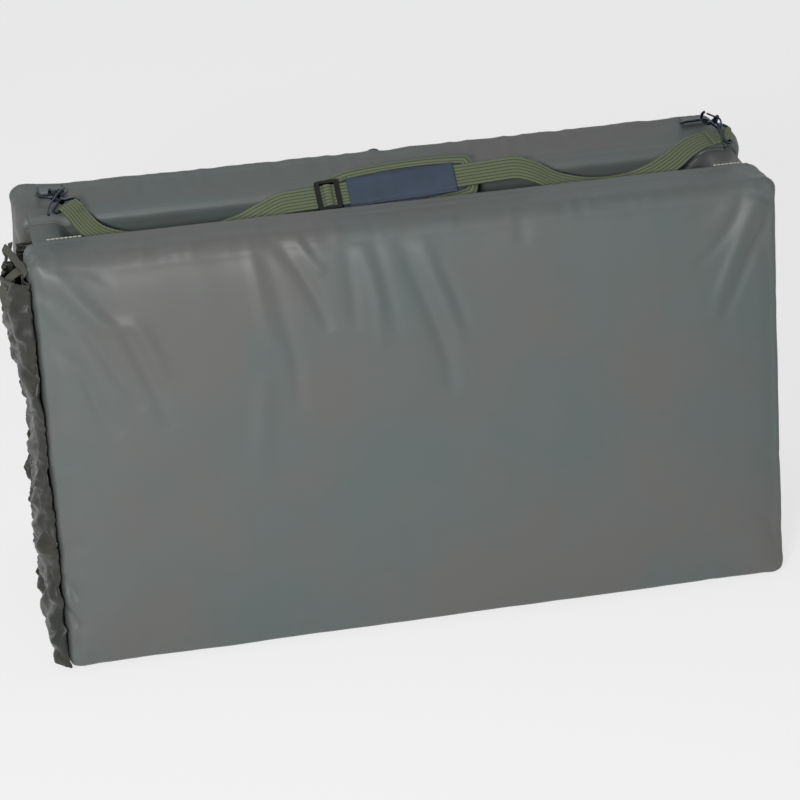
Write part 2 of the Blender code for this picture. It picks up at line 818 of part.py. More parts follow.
def build_hook_body(side, frame):
    """Post, flange, claw and the two ears that carry the gate's pin."""
    centre = Vector((CLAW_CENTRE, 0, 0))
    steps = 14
    sweep = math.pi + CLAW_TIP_ANGLE
    line = [Vector((FLANGE_START + FLANGE_LENGTH / 2, 0, 0))]
    for step in range(steps + 1):
        angle = math.pi + sweep * step / steps
        line.append(centre + CLAW_RADIUS * Vector((math.cos(angle), math.sin(angle), 0)))
    head_start = COLLAR_START - POST_CLEARANCE - POST_HEAD_LENGTH
    head_end = head_start + POST_HEAD_LENGTH
    flange_end = FLANGE_START + FLANGE_LENGTH
    profile = (
        (head_start, POST_HEAD_RADIUS), (head_end, POST_HEAD_RADIUS), (head_end, POST_RADIUS),
        (FLANGE_START, POST_RADIUS), (FLANGE_START, FLANGE_RADIUS), (flange_end, FLANGE_RADIUS),
    )
    body = turned(side + "_hook_body", profile, frame, "metal")
    claw = tube(side + "_claw_form", line, CLAW_WIRE_RADIUS, "metal", frame)
    combine(body, claw, "UNION")
    root = Vector((FLANGE_START + FLANGE_LENGTH / 2, 0, 0))
    inner = GATE_HALF_THICKNESS + SEAM_GAP
    outer = inner + EAR_THICKNESS
    for tag, low, high in (("upper", inner, outer), ("lower", -outer, -inner)):
        ear = capsule_plate(side + "_" + tag + "_ear_form", root, GATE_PIVOT, EAR_HALF_WIDTH, low, high,
                            frame, "metal")
        combine(body, ear, "UNION")
    bore = pin_along_z(side + "_pin_bore", GATE_PIN_RADIUS + GATE_PIN_CLEARANCE, GATE_PIVOT,
                       outer + BORE_OVERRUN, frame, "metal")
    combine(body, bore, "DIFFERENCE")
    pin_along_z(side + "_gate_pin", GATE_PIN_RADIUS, GATE_PIVOT, outer, frame, "metal")


GATE_PIVOT = Vector((FLANGE_START + FLANGE_LENGTH / 2 + CLAW_WIRE_RADIUS, GATE_PIVOT_SIDE, 0))


def build_gate(side, frame):
    """Sprung gate: a hub on the pin, the bar that shuts the claw and the thumb lever."""
    pivot_frame = empty(side + "_gate_axis", GATE_PIVOT, parent=frame)
    tip = Vector((CLAW_CENTRE + CLAW_RADIUS * math.cos(CLAW_TIP_ANGLE),
                  CLAW_RADIUS * math.sin(CLAW_TIP_ANGLE), 0)) - GATE_PIVOT
    stand_off = CLAW_WIRE_RADIUS + GATE_BAR_RADIUS + GATE_TIP_GAP
    inward = Vector((-tip.x, GATE_HUB_RADIUS, 0)).normalized()
    nose = tip + inward * stand_off
    origin = Vector((0, 0, 0))
    gate = pin_along_z(side + "_hook_gate", GATE_HUB_RADIUS, origin, GATE_HALF_THICKNESS, pivot_frame,
                       "metal", 14)
    bar = tube(side + "_gate_bar_form", [origin, nose], GATE_BAR_RADIUS, "metal", pivot_frame)
    route = [origin] + [Vector(share) * LEVER_LENGTH for share in LEVER_SHARES]
    lever_line = smooth_line(route, 2)
    lever = tube(side + "_lever_form", lever_line, LEVER_RADIUS, "metal", pivot_frame)
    ball_mesh = bpy.data.meshes.new(side + "_lever_ball_form")
    work = bmesh.new()
    bmesh.ops.create_icosphere(work, subdivisions=2, radius=LEVER_BALL_RADIUS)
    work.to_mesh(ball_mesh)
    work.free()
    ball = add_object(side + "_lever_ball_form", ball_mesh, "metal", pivot_frame, lever_line[-1])
    bore = pin_along_z(side + "_gate_bore", GATE_PIN_RADIUS + GATE_PIN_CLEARANCE, origin,
                       GATE_HALF_THICKNESS + BORE_OVERRUN, pivot_frame, "metal")
    combine(gate, bar, "UNION")
    combine(gate, lever, "UNION")
    combine(gate, ball, "UNION")
    combine(gate, bore, "DIFFERENCE")


def build_hook(side, sign, pose, lift, strap_frame):
    matrix = hook_matrix(sign, pose, lift)
    swivel_frame = empty(side + "_swivel_axis", (0, 0, 0), parent=strap_frame)
    swivel_frame.matrix_local = Matrix.Translation(-STRAP_AXIS) @ matrix
    along = matrix.to_3x3() @ Vector((1, 0, 0))
    bar = heading_vector(pose["bar_heading"], pose["bar_rise"])
    flat_normal = along.cross(bar).normalized()
    eye_matrix = Matrix((along, flat_normal.cross(along), flat_normal)).transposed().to_4x4()
    eye_frame = empty(side + "_eye_frame", (0, 0, 0), parent=strap_frame)
    eye_frame.matrix_local = Matrix.Translation(matrix.translation - STRAP_AXIS) @ eye_matrix
    bar_local = eye_matrix.to_3x3().inverted() @ bar
    build_eye(side, bar_local.normalized(), eye_frame)
    build_hook_body(side, swivel_frame)
    build_gate(side, swivel_frame)
    return matrix.translation, bar


def route_point(x, row):
    """Centre and width direction of the strap at one row of the route."""
    y_share, z_share, heading, rise = row[1:]
    centre = Vector((x, y_share * PANEL_THICKNESS, RIM_HEIGHT + z_share * PANEL_THICKNESS))
    return centre, heading_vector(heading, rise)


def route(sign, straight_x, hook_end, run):
    """The strap's route on one side, from its hook to the straight run."""
    keys = []
    for row in hook_end:
        keys.append(route_point(sign * (RING_CENTRE_OFFSET - row[0] * PANEL_THICKNESS), row))
    last_x = keys[-1][0].x
    for row in run:
        keys.append(route_point(straight_x + (last_x - straight_x) * row[0], row))
    return keys


def straight_length():
    """The run that carries the slider and the pad, with room for the pad to slide."""
    return SLIDER_FROM_START + SLIDER_LENGTH / 2 + PAD_FROM_SLIDER + PAD_LENGTH + PAD_TRAVEL


def pad_from_start():
    return straight_length() - PAD_TRAVEL - PAD_LENGTH / 2


def straight_ends():
    y = STRAIGHT_Y_SHARE * PANEL_THICKNESS
    rise = STRAIGHT_RIGHT_RISE - STRAIGHT_LEFT_RISE
    reach = math.sqrt(straight_length() ** 2 - rise ** 2)
    start = Vector((-STRAIGHT_LEFT_REACH, y, RIM_HEIGHT + STRAIGHT_LEFT_RISE))
    return start, start + Vector((reach, 0, rise))


def wrap_points(centre, bar, leave):
    """Half turn of webbing round an eye bar, from its lower side to its upper side."""
    normal = bar.cross(leave).normalized()
    if normal.z < 0:
        normal = -normal
    points = []
    for step in range(WRAP_STEPS + 1):
        turn = math.pi * step / WRAP_STEPS
        points.append(centre - normal * WRAP_RADIUS * math.cos(turn) - leave * WRAP_RADIUS * math.sin(turn))
    return points


def build_strap(left_eye, right_eye, strap_frame):
    """One length of webbing from the left hook's eye to its fold-back at the right one."""
    start, end = straight_ends()
    middle_width = heading_vector(90, math.degrees(STRAP_STRAIGHT_TILT))
    left_rows = route(-1, start.x, LEFT_HOOK_END_SHARES, LEFT_RUN_SHARES)
    right_rows = route(1, end.x, RIGHT_HOOK_END_SHARES, RIGHT_RUN_SHARES)[::-1]
    left_centre, left_bar = left_eye
    right_centre, right_bar = right_eye
    left_leave = flat_leave(left_bar, left_rows[0][0] - left_centre)
    right_leave = flat_leave(right_bar, right_rows[-1][0] - right_centre)
    left_wrap = wrap_points(left_centre, left_bar, left_leave)
    right_wrap = wrap_points(right_centre, right_bar, right_leave)
    left_lead = (left_wrap[-1] + left_leave * STRAP_LEAD, left_bar)
    right_lead = (right_wrap[0] + right_leave * STRAP_LEAD, right_bar)
    left_part = [(left_wrap[-1], left_bar), left_lead] + left_rows + [(start, middle_width)]
    right_part = [(end, middle_width)] + right_rows + [right_lead, (right_wrap[0], right_bar)]
    left_centres, left_widths = smoothed(left_part)
    right_centres, right_widths = smoothed(right_part)
    centres = left_wrap[:-1] + left_centres + right_centres + right_wrap[1:]
    widths = [left_bar] * (len(left_wrap) - 1) + left_widths + right_widths
    widths += [right_bar] * (len(right_wrap) - 1)
    folded = offset_layer(right_centres, right_widths, WEBBING_THICKNESS + STRAP_LAYER_GAP)
    for index in range(len(folded) - 1, 0, -1):
        from_bar = (folded[index] - right_centre).length
        if STRAP_SETTLE < from_bar < STRAP_FOLD_BACK:
            centres.append(folded[index])
            widths.append(right_widths[index])
    ribbon("strap_webbing", centres, widths, WEBBING_WIDTH, WEBBING_THICKNESS, "webbing", strap_frame,
           STRAP_AXIS)
    return left_wrap[0], left_centres, left_widths


STRAP_SETTLE = 0.011
STRAP_LEAD = 0.010
STRAP_END_GAP = 0.0015


def flat_leave(bar, towards):
    """Direction in which webbing leaves a bar: square to it, towards the route."""
    return (towards - bar * bar.dot(towards)).normalized()


def smoothed(keys):
    """Curve through keyed places and width directions."""
    centres = smooth_line([k[0] for k in keys], RIBBON_STEPS)
    widths = smooth_line([k[1] for k in keys], RIBBON_STEPS)
    return centres, widths


def offset_layer(centres, widths, distance):
    """A layer lying on the upper side of a band, or under it for a distance below zero."""
    layer = []
    last = len(centres) - 1
    for index, centre in enumerate(centres):
        along = (centres[min(index + 1, last)] - centres[max(index - 1, 0)]).normalized()
        normal = along.cross(widths[index]).normalized()
        layer.append(centre + normal * distance)
    return layer


def build_strap_tail(tail_start, left_centres, left_widths, slider_matrix, strap_frame):
    """Second layer: from the left eye back under the strap and round the slider's middle bar."""
    layer = WEBBING_THICKNESS + STRAP_LAYER_GAP
    under = offset_layer(left_centres, left_widths, -layer)
    first = tail_start + (under[TAIL_BLEND] - tail_start).normalized() * STRAP_END_GAP
    places = [first]
    for index in range(1, TAIL_BLEND):
        share = index / TAIL_BLEND
        straight = first.lerp(under[TAIL_BLEND], share)
        places.append(straight.lerp(under[index], share))
    places += under[TAIL_BLEND:]
    widths = list(left_widths)
    basis = slider_matrix.to_3x3()
    along = basis @ Vector((1, 0, 0))
    across = basis @ Vector((0, 1, 0))
    normal = basis @ Vector((0, 0, 1))
    bar_centre = slider_matrix @ Vector((0, 0, SLIDER_BAR_LEVEL))
    radius = SLIDER_BAR_HEIGHT / 2 + LOOP_GAP + WEBBING_THICKNESS / 2
    half_flat = SLIDER_BAR_WIDTH / 2 - SLIDER_BAR_HEIGHT / 2
    for step in range(WRAP_STEPS + 1):
        turn = math.pi * step / WRAP_STEPS
        places.append(bar_centre + along * (half_flat + radius * math.sin(turn))
                      + normal * radius * math.cos(turn))
    places.append(bar_centre - along * SLIDER_BAR_WIDTH - normal * radius)
    widths += [across] * (WRAP_STEPS + 2)
    ribbon("strap_tail", places, widths, WEBBING_WIDTH, WEBBING_THICKNESS, "webbing", strap_frame,
           STRAP_AXIS)


TAIL_BLEND = 5
SLIDER_BAR_LEVEL = -(WEBBING_THICKNESS * 1.5 + STRAP_LAYER_GAP + LOOP_GAP + SLIDER_BAR_HEIGHT / 2)


def strap_matrix(from_start):
    """Frame on the straight run: X along it, Y across the webbing, Z out of its face."""
    start, end = straight_ends()
    along = (end - start).normalized()
    across = heading_vector(90, math.degrees(STRAP_STRAIGHT_TILT))
    across = (across - along * across.dot(along)).normalized()
    normal = along.cross(across)
    basis = Matrix((along, across, normal)).transposed().to_4x4()
    return Matrix.Translation(start + along * from_start) @ basis


def box_form(name, size, centre, parent, finish):
    data = bpy.data.meshes.new(name)
    work = bmesh.new()
    bmesh.ops.create_cube(work, size=1.0)
    for vertex in work.verts:
        vertex.co = Vector((vertex.co.x * size[0], vertex.co.y * size[1], vertex.co.z * size[2]))
        vertex.co += Vector(centre)
    work.to_mesh(data)
    work.free()
    return add_object(name, data, finish, parent, smooth=False)


def build_slider(strap_frame):
    """Ladder slider: two outer bars over the strap, a middle bar under it and two rails."""
    frame = empty("slider_axis", (0, 0, 0), parent=strap_frame)
    matrix = strap_matrix(SLIDER_FROM_START)
    frame.matrix_local = Matrix.Translation(-STRAP_AXIS) @ matrix
    inner_half = WEBBING_WIDTH / 2 + SLIDER_SIDE_CLEARANCE
    half_y = inner_half + SLIDER_RAIL
    low = SLIDER_BAR_LEVEL - SLIDER_BAR_HEIGHT / 2 - SLIDER_CLEARANCE / 2
    bar_low = WEBBING_THICKNESS / 2 + SLIDER_CLEARANCE
    high = bar_low + SLIDER_BAR_HEIGHT
    rings = []
    for z in (low, high):
        outline = rounded_outline(SLIDER_LENGTH / 2, half_y, SLIDER_CORNER)
        rings.append([Vector((x, y, z)) for x, y in outline])
    slider = add_object("strap_slider", mesh_from("strap_slider", *loft(rings, True, True)), "slider", frame)
    window = SLIDER_LENGTH - 2 * SLIDER_BAR_WIDTH
    tall = 3 * (high - low)
    window_half = inner_half - SLIDER_CLEARANCE / 2
    openings = box_form("slider_window", (window, 2 * window_half, tall), (0, 0, 0), frame, "slider")
    under = 2 * (bar_low - low)
    passage = box_form("slider_passage", (2 * SLIDER_LENGTH, 2 * inner_half, under),
                       (0, 0, bar_low - under / 2), frame, "slider")
    combine(slider, openings, "DIFFERENCE")
    combine(slider, passage, "DIFFERENCE")
    reach = inner_half + SLIDER_RAIL / 2
    half_flat = SLIDER_BAR_WIDTH / 2 - SLIDER_BAR_HEIGHT / 2
    section = []
    for centre, first in ((half_flat, -90), (-half_flat, 90)):
        for step in range(5):
            angle = math.radians(first + 45 * step)
            section.append((centre + SLIDER_BAR_HEIGHT / 2 * math.cos(angle),
                            SLIDER_BAR_LEVEL + SLIDER_BAR_HEIGHT / 2 * math.sin(angle)))
    rings = [[Vector((x, y, z)) for x, z in section] for y in (-reach, reach)]
    bar = add_object("slider_middle_bar", mesh_from("slider_middle_bar", *loft(rings, True, True)), "slider",
                     frame)
    combine(slider, bar, "UNION")
    return matrix


def pad_half_width(share):
    """Half width of the shoulder pad at a share of its half length, both ways from its middle."""
    middle = PAD_WIDTH / 2
    end = PAD_END_WIDTH / 2
    return end + (middle - end) * (1 - abs(share) ** 2.4)


PAD_OUTLINE_SHARES = (-0.93, -0.8, -0.6, -0.35, 0, 0.35, 0.6, 0.8, 0.93)
PAD_END_ROUND_SHARES = (0.97, 0.78, 0.42)


def pad_outline(inset):
    """Outline of the pad, inset from its edge, as (x, y) pairs."""
    half = PAD_LENGTH / 2
    upper = []
    for share in PAD_OUTLINE_SHARES:
        x = share * (half - inset)
        upper.append((x, pad_half_width(share) - inset))
    end_x = half - inset
    end_y = pad_half_width(PAD_OUTLINE_SHARES[-1]) - inset
    right = []
    for share in PAD_END_ROUND_SHARES[1:]:
        bulge = 1 - (share ** 3) * (1 - PAD_OUTLINE_SHARES[-1])
        right.append((end_x * bulge, end_y * share))
    right_full = right + [(end_x, 0)] + [(x, -y) for x, y in reversed(right)]
    points = upper + right_full
    points += [(x, -y) for x, y in reversed(upper)]
    points += [(-x, -y) for x, y in right_full]
    return points


def build_pad(strap_frame):
    """Padded core, bound edge, and the face patch whose sleeve the webbing runs through."""
    frame = empty("pad_axis", (0, 0, 0), parent=strap_frame)
    frame.matrix_local = Matrix.Translation(-STRAP_AXIS) @ strap_matrix(pad_from_start())
    top = -(WEBBING_THICKNESS / 2 + PAD_CLEARANCE)
    bottom = top - PAD_EDGE_HEIGHT
    profile = (
        (0, top), (0, bottom), (BINDING_WIDTH, bottom), (BINDING_WIDTH, bottom + BINDING_CLOTH),
        (BINDING_CLOTH, bottom + BINDING_CLOTH), (BINDING_CLOTH, top - BINDING_CLOTH),
        (BINDING_WIDTH, top - BINDING_CLOTH), (BINDING_WIDTH, top),
    )
    rings = [[Vector((x, y, z)) for x, y in pad_outline(inset)] for inset, z in profile]
    add_object("pad_binding", mesh_from("pad_binding", *loft(rings, False, False, True)), "webbing", frame)
    core_inset = BINDING_CLOTH + PAD_CLEARANCE
    step_inset = BINDING_WIDTH + PAD_CLEARANCE
    edge_top = top - BINDING_CLOTH - PAD_CLEARANCE
    edge_bottom = bottom + BINDING_CLOTH + PAD_CLEARANCE
    core_profile = (
        (step_inset, bottom), (step_inset, edge_bottom), (core_inset, edge_bottom),
        (core_inset, edge_top), (step_inset, edge_top), (step_inset, top),
    )
    rings = [[Vector((x, y, z)) for x, y in pad_outline(inset)] for inset, z in core_profile]
    add_object("pad_core", mesh_from("pad_core", *loft(rings, True, True)), "foam", frame)
    build_patch(frame, top)


PATCH_STATIONS = 8


def build_patch(frame, top):
    """Face patch sewn along both edges, raised in the middle as a sleeve for the webbing."""
    base = top + SEAM_GAP
    land_top = base + PATCH_CLOTH
    sleeve_half = WEBBING_WIDTH / 2 + SLEEVE_SIDE_CLEARANCE
    sleeve_base = WEBBING_THICKNESS / 2 + PAD_CLEARANCE
    sleeve_top = sleeve_base + PATCH_CLOTH
    start = -PAD_LENGTH / 2 + PATCH_START
    end = PAD_LENGTH / 2 - PATCH_END_MARGIN
    rings = []
    for station in range(PATCH_STATIONS + 1):
        x = start + (end - start) * station / PATCH_STATIONS
        half = pad_half_width(2 * x / PAD_LENGTH) - BINDING_WIDTH - SEAM_GAP
        half = max(half, sleeve_half + 3 * PATCH_CLOTH)
        right = (
            (half, base), (half, land_top), (sleeve_half + 2 * PATCH_CLOTH, land_top),
            (sleeve_half + PATCH_CLOTH / 2, sleeve_top),
        )
        under = ((sleeve_half, sleeve_base), (sleeve_half + PATCH_CLOTH / 2, base))
        ring = [Vector((x, y, z)) for y, z in right]
        ring += [Vector((x, -y, z)) for y, z in reversed(right)]
        ring += [Vector((x, -y, z)) for y, z in reversed(under)]
        ring += [Vector((x, y, z)) for y, z in under]
        rings.append(ring)
    add_object("pad_face_patch", mesh_from("pad_face_patch", *loft(rings, True, True)), "pad", frame)


def build_hems(side, sign, front_frame, rear_frame):
    """Elastic hems: up the free edge of a half skirt, over its top and back to the panel's end."""
    for tag, frame, turn, phase in (("front", front_frame, 1, FRONT_PHASE), ("rear", rear_frame, -1, REAR_PHASE)):
        line = []
        for row in range(PLEAT_ROWS, -1, -1):
            point = skirt_point(sign * turn, 1, row / PLEAT_ROWS, phase)
            line.append(point + Vector((0, HEM_RADIUS + SKIRT_CLOTH, 0)))
        for out, across, drop in HEM_TOP:
            x = HALF_LENGTH + SEAM_GAP + HEM_RADIUS + out
            line.append(Vector((sign * turn * x, across, PANEL_HEIGHT - drop)))
        bends = smooth_line(line[-len(HEM_TOP) - 1:], 2)
        line = line[:-len(HEM_TOP) - 1] + bends
        tube(side + "_hem_" + tag, line, HEM_RADIUS, "skirt", frame, sides=HEM_SIDES)


FRONT_PHASE = 0.4
REAR_PHASE = 2.1


def build_corner_loop(side, sign, frame):
    """Band sewn to the front panel's end near its top corner, standing out as a loop."""
    start = HALF_LENGTH + SEAM_GAP + HEM_CLOTH / 2
    points = []
    for out_share, drop_share in CORNER_LOOP_SHARES:
        points.append(Vector((sign * (start + out_share * CORNER_LOOP_REACH), -PANEL_THICKNESS / 2,
                              PANEL_HEIGHT - drop_share * CORNER_LOOP_DROP)))
    line = points[:1] + smooth_line(points[1:-1], RIBBON_STEPS) + points[-1:]
    widths = [Vector((0, 1, 0))] * len(line)
    ribbon(side + "_corner_loop", line, widths, HEM_WIDTH, HEM_CLOTH, "skirt", frame)


CORNER_LOOP_SHARES = (
    (0.00, 0.34), (0.00, 0.46), (0.50, 0.50), (1.00, 0.62), (1.00, 0.78), (0.50, 0.90), (0.00, 0.94),
    (0.00, 1.06),
)


def build_hanging_tab(rear_frame):
    """Small folded loop sewn on the back of the rear panel, its round top above the edge."""
    half = HANGING_TAB_WIDTH / 2
    centre_z = PANEL_HEIGHT + HANGING_TAB_ABOVE_EDGE - half
    steps = 10
    outline = []
    for step in range(steps + 1):
        angle = math.pi * step / steps
        outline.append((half * math.cos(angle), centre_z + half * math.sin(angle)))
    outline.append((-half, centre_z - HANGING_TAB_HEIGHT + half))
    outline.append((half, centre_z - HANGING_TAB_HEIGHT + half))
    inset_share, crown_share = CROWN_SHARES[-1]
    on_face = HANGING_TAB_HEIGHT - HANGING_TAB_ABOVE_EDGE - OUTER_EDGE_RADIUS
    slope = PANEL_CROWN * crown_share / (PANEL_HEIGHT * inset_share - OUTER_EDGE_RADIUS)
    start = -(PANEL_THICKNESS + slope * on_face + SEAM_GAP)
    rings = []
    for y in (start, start - HANGING_TAB_THICKNESS):
        rings.append([Vector((x, y, z)) for x, z in outline])
    add_object("rear_hanging_tab", mesh_from("rear_hanging_tab", *loft(rings, True, True)), "webbing",
               rear_frame)


def main():
    clear_scene()
    fold_axis = empty("main_fold_axis", HINGE_POINT)
    front_frame = empty("front_panel_frame", Vector((0, -FOOT_OFFSET, -FOOT_LEVEL)) - HINGE_POINT,
                        (-LEAN, 0, 0), fold_axis)
    rear_frame = empty("rear_panel_frame", Vector((0, FOOT_OFFSET, -FOOT_LEVEL)), (-LEAN, 0, math.pi))
    build_panel("front", front_frame)
    build_panel("rear", rear_frame)
    build_fold_web()
    build_hanging_tab(rear_frame)
    strap_frame = empty("strap_swing_axis", STRAP_AXIS)
    eyes = {}
    for side, sign, pose, lift in (("left", -1, LEFT_HOOK_POSE, LEFT_RING_LIFT),
                                   ("right", 1, RIGHT_HOOK_POSE, RIGHT_RING_LIFT)):
        build_skirt(side + "_skirt_front", sign, front_frame, FRONT_PHASE)
        build_skirt(side + "_skirt_rear", -sign, rear_frame, REAR_PHASE)
        build_hems(side, sign, front_frame, rear_frame)
        build_corner_loop(side, sign, front_frame)
        build_ring_and_tab(side, sign, lift, strap_frame)
        eyes[side] = build_hook(side, sign, pose, lift, strap_frame)
    tail_start, left_centres, left_widths = build_strap(eyes["left"], eyes["right"], strap_frame)
    slider_matrix = build_slider(strap_frame)
    build_strap_tail(tail_start, left_centres, left_widths, slider_matrix, strap_frame)
    build_pad(strap_frame)


main()
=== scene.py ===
from math import cos, pi, radians, sin, sqrt, tan

import bmesh
import bpy
import numpy as np
from mathutils import Matrix, Vector, noise


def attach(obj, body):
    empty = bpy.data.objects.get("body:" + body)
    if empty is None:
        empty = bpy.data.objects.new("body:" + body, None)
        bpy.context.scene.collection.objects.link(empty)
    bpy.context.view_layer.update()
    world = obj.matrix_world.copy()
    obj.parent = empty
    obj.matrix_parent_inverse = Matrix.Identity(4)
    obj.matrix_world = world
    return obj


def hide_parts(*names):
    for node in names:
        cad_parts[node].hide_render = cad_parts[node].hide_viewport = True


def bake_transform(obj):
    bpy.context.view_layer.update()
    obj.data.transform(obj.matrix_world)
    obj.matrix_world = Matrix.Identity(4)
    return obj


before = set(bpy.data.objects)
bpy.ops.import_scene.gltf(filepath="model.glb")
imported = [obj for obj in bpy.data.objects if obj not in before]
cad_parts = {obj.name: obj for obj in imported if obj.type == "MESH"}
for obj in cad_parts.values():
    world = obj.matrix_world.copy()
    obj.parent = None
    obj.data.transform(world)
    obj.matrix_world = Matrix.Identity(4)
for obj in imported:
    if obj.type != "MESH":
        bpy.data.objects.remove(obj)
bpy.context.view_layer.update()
scene = bpy.context.scene
print("frame loaded")


# small tools

def linear(code):
    parts = [int(code[i:i + 2], 16) / 255 for i in (1, 3, 5)]
    return [p / 12.92 if p <= 0.04045 else ((p + 0.055) / 1.055) ** 2.4 for p in parts] + [1.0]


def addNode(tree, kind, values=(), wires=(), **settings):
    made = tree.nodes.new(kind)
    for key, value in settings.items():
        setattr(made, key, value)
    for key, value in dict(values).items():
        made.inputs[key].default_value = value
    for key, socket in dict(wires).items():
        tree.links.new(socket, made.inputs[key])
    return made


def startMaterial(name, roughness, **more):
    made = bpy.data.materials.new(name)
    made.use_nodes = True
    shader = made.node_tree.nodes["Principled BSDF"]
    shader.inputs["Roughness"].default_value = roughness
    for key, value in more.items():
        shader.inputs[key.replace("_", " ")].default_value = value
    return made, made.node_tree, shader


def plainMaterial(name, code, roughness, **more):
    made, _, shader = startMaterial(name, roughness, **more)
    shader.inputs["Base Color"].default_value = linear(code)
    return made


def smoothLine(points, steps):
    line = []
    last = len(points) - 1
    for index in range(last):
        before, start = points[max(index - 1, 0)], points[index]
        end, after = points[index + 1], points[min(index + 2, last)]
        for step in range(steps):
            t = step / steps
            line.append(0.5 * (2 * start + (end - before) * t
                               + (2 * before - 5 * start + 4 * end - after) * t * t
                               + (3 * start - before - 3 * end + after) * t * t * t))
    line.append(points[last])
    return line


def directionAt(line, index):
    return (line[min(index + 1, len(line) - 1)] - line[max(index - 1, 0)]).normalized()


def addObject(name, data):
    made = bpy.data.objects.new(name, data)
    scene.collection.objects.link(made)
    return made


def finishWith(obj, finish):
    obj.data.materials.clear()
    obj.data.materials.append(finish)


def makeMesh(name, points, faces, finish, place=None):
    data = bpy.data.meshes.new(name)
    data.from_pydata([tuple(p) for p in points], [], faces)
    work = bmesh.new()
    work.from_mesh(data)
    bmesh.ops.recalc_face_normals(work, faces=work.faces)
    work.to_mesh(data)
    work.free()
    made = addObject(name, data)
    if place is not None:
        made.matrix_world = place
    data.materials.append(finish)
    data.shade_smooth()
    return made


def loft(rings, closed=False):
    count = len(rings[0])
    faces = []
    for row in range(len(rings) if closed else len(rings) - 1):
        low, high = row * count, (row + 1) % len(rings) * count
        for column in range(count):
            after = (column + 1) % count
            faces.append((low + column, low + after, high + after, high + column))
    if not closed:
        faces += [tuple(range(count)), tuple(range((len(rings) - 1) * count, len(rings) * count))]
    return [p for ring in rings for p in ring], faces


def gridFaces(rows, columns):
    faces = []
    for row in range(rows - 1):
        for column in range(columns - 1):
            low = row * columns + column
            faces.append((low, low + 1, low + columns + 1, low + columns))
    return faces


def bake(obj):
    bpy.context.view_layer.update()
    shape = obj.evaluated_get(bpy.context.evaluated_depsgraph_get())
    data = bpy.data.meshes.new_from_object(shape)
    obj.modifiers.clear()
    obj.data = data
    data.shade_smooth()


def readPoints(data, kind="co"):
    flat = np.empty(len(data.vertices) * 3)
    data.vertices.foreach_get(kind, flat)
    return flat.reshape(-1, 3)


def writePoints(data, places):
    data.vertices.foreach_set("co", places.ravel())
    data.update()


def noiseAt(x, y, z, shift=Vector((0, 0, 0))):
    return noise.noise(Vector((x, y, z)) + shift)


def waves(places, sizes, shift):  # sizes: height and length
    height, length = sizes
    return height * np.array([noise.noise(Vector(p) / length + shift) for p in places])


def easeStep(low, high, values):
    share = np.clip((values - low) / (high - low), 0, 1)
    return share * share * (3 - 2 * share)


def thicken(obj, thickness):
    made = obj.modifiers.new("thickness", "SOLIDIFY")
    made.thickness, made.offset, made.use_even_offset = thickness, 0, False
    bake(obj)


def standFor(obj, node, body):  # takes a CAD node's place and its body
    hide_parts(node)
    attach(obj, body)


def halfTurn(centre, side, back, radius):  # points round a bar, from one side to the other
    return [centre + (side * cos(pi * i / 12) + back * sin(pi * i / 12)) * radius for i in range(13)]


def markRoute(data, mark):  # UV map of a webbing: share of its width, then metres along it
    layer = data.uv_layers.new(name="route")
    for loop in data.loops:
        layer.data[loop.index].uv = mark(loop.vertex_index)


def headingVector(heading, rise):
    turn, lift = radians(heading), radians(rise)
    return Vector((cos(turn) * cos(lift), sin(turn) * cos(lift), sin(lift)))


# finishes

def clothMaterial(name, tones, patchSize, roughness, threadSize, threadDepth, **more):
    made, tree, shader = startMaterial(name, roughness, **more)
    where = addNode(tree, "ShaderNodeTexCoord").outputs["Object"]
    patches = addNode(tree, "ShaderNodeTexNoise", {"Scale": 1 / patchSize, "Detail": 2.0, "Roughness": 0.5},
                      {"Vector": where})
    ramp = addNode(tree, "ShaderNodeValToRGB", {}, {"Fac": patches.outputs["Fac"]})
    for stop, place, tone in zip(ramp.color_ramp.elements, (0.36, 0.64), tones):
        stop.position, stop.color = place, linear(tone)
    tree.links.new(ramp.outputs["Color"], shader.inputs["Base Color"])
    bands = 0.31 / threadSize  # a wave texture repeats every 0.31 / scale
    warp, weft = (addNode(tree, "ShaderNodeTexWave", {"Scale": bands}, {"Vector": where},
                          bands_direction=axis) for axis in "XZ")
    cross = addNode(tree, "ShaderNodeMath", {}, {0: warp.outputs["Fac"], 1: weft.outputs["Fac"]},
                    operation="MULTIPLY")
    bump = addNode(tree, "ShaderNodeBump", {"Strength": 0.35, "Distance": threadDepth},
                   {"Height": cross.outputs["Value"]})
    tree.links.new(bump.outputs["Normal"], shader.inputs["Normal"])
    return made


# coated polyester: low, broad sheen over soft green-grey and warm grey patches
coatedPolyester = clothMaterial("coatedPolyester", ("#616b69", "#696967"), 0.16, 0.46, 0.0007, 0.0001)
# lying surface: a little darker and flatter, smooth for the fish
lyingCloth = clothMaterial("lyingCloth", ("#5c635f", "#615f5b"), 0.20, 0.62, 0.0006, 0.0001)
# skirt nylon: thin and crumpled, so it glints on each crease
skirtNylon = clothMaterial("skirtNylon", ("#383630", "#2e322e"), 0.09, 0.34, 0.0005, 0.0001,
                           Specular_IOR_Level=0.4)
# hem elastic: paler, matt and ribbed
hemElastic = clothMaterial("hemElastic", ("#5a5951", "#4d4d47"), 0.03, 0.75, 0.0012, 0.0004)
# pad face: navy slate woven cloth, nearly matt
padCloth = clothMaterial("padCloth", ("#354253", "#3b495b"), 0.05, 0.60, 0.0009, 0.0002)
# seam thread: cream, catches the light as small beads
seamThread = plainMaterial("seamThread", "#bdbbac", 0.60)
# open cell foam, hidden in the covers
cellFoam = plainMaterial("openCellFoam", "#cfcfc8", 0.95)
# black nickel: blue-black and glossy, with narrow bright glints
blackNickel = plainMaterial("blackNickel", "#3a424c", 0.20, Metallic=1.0)
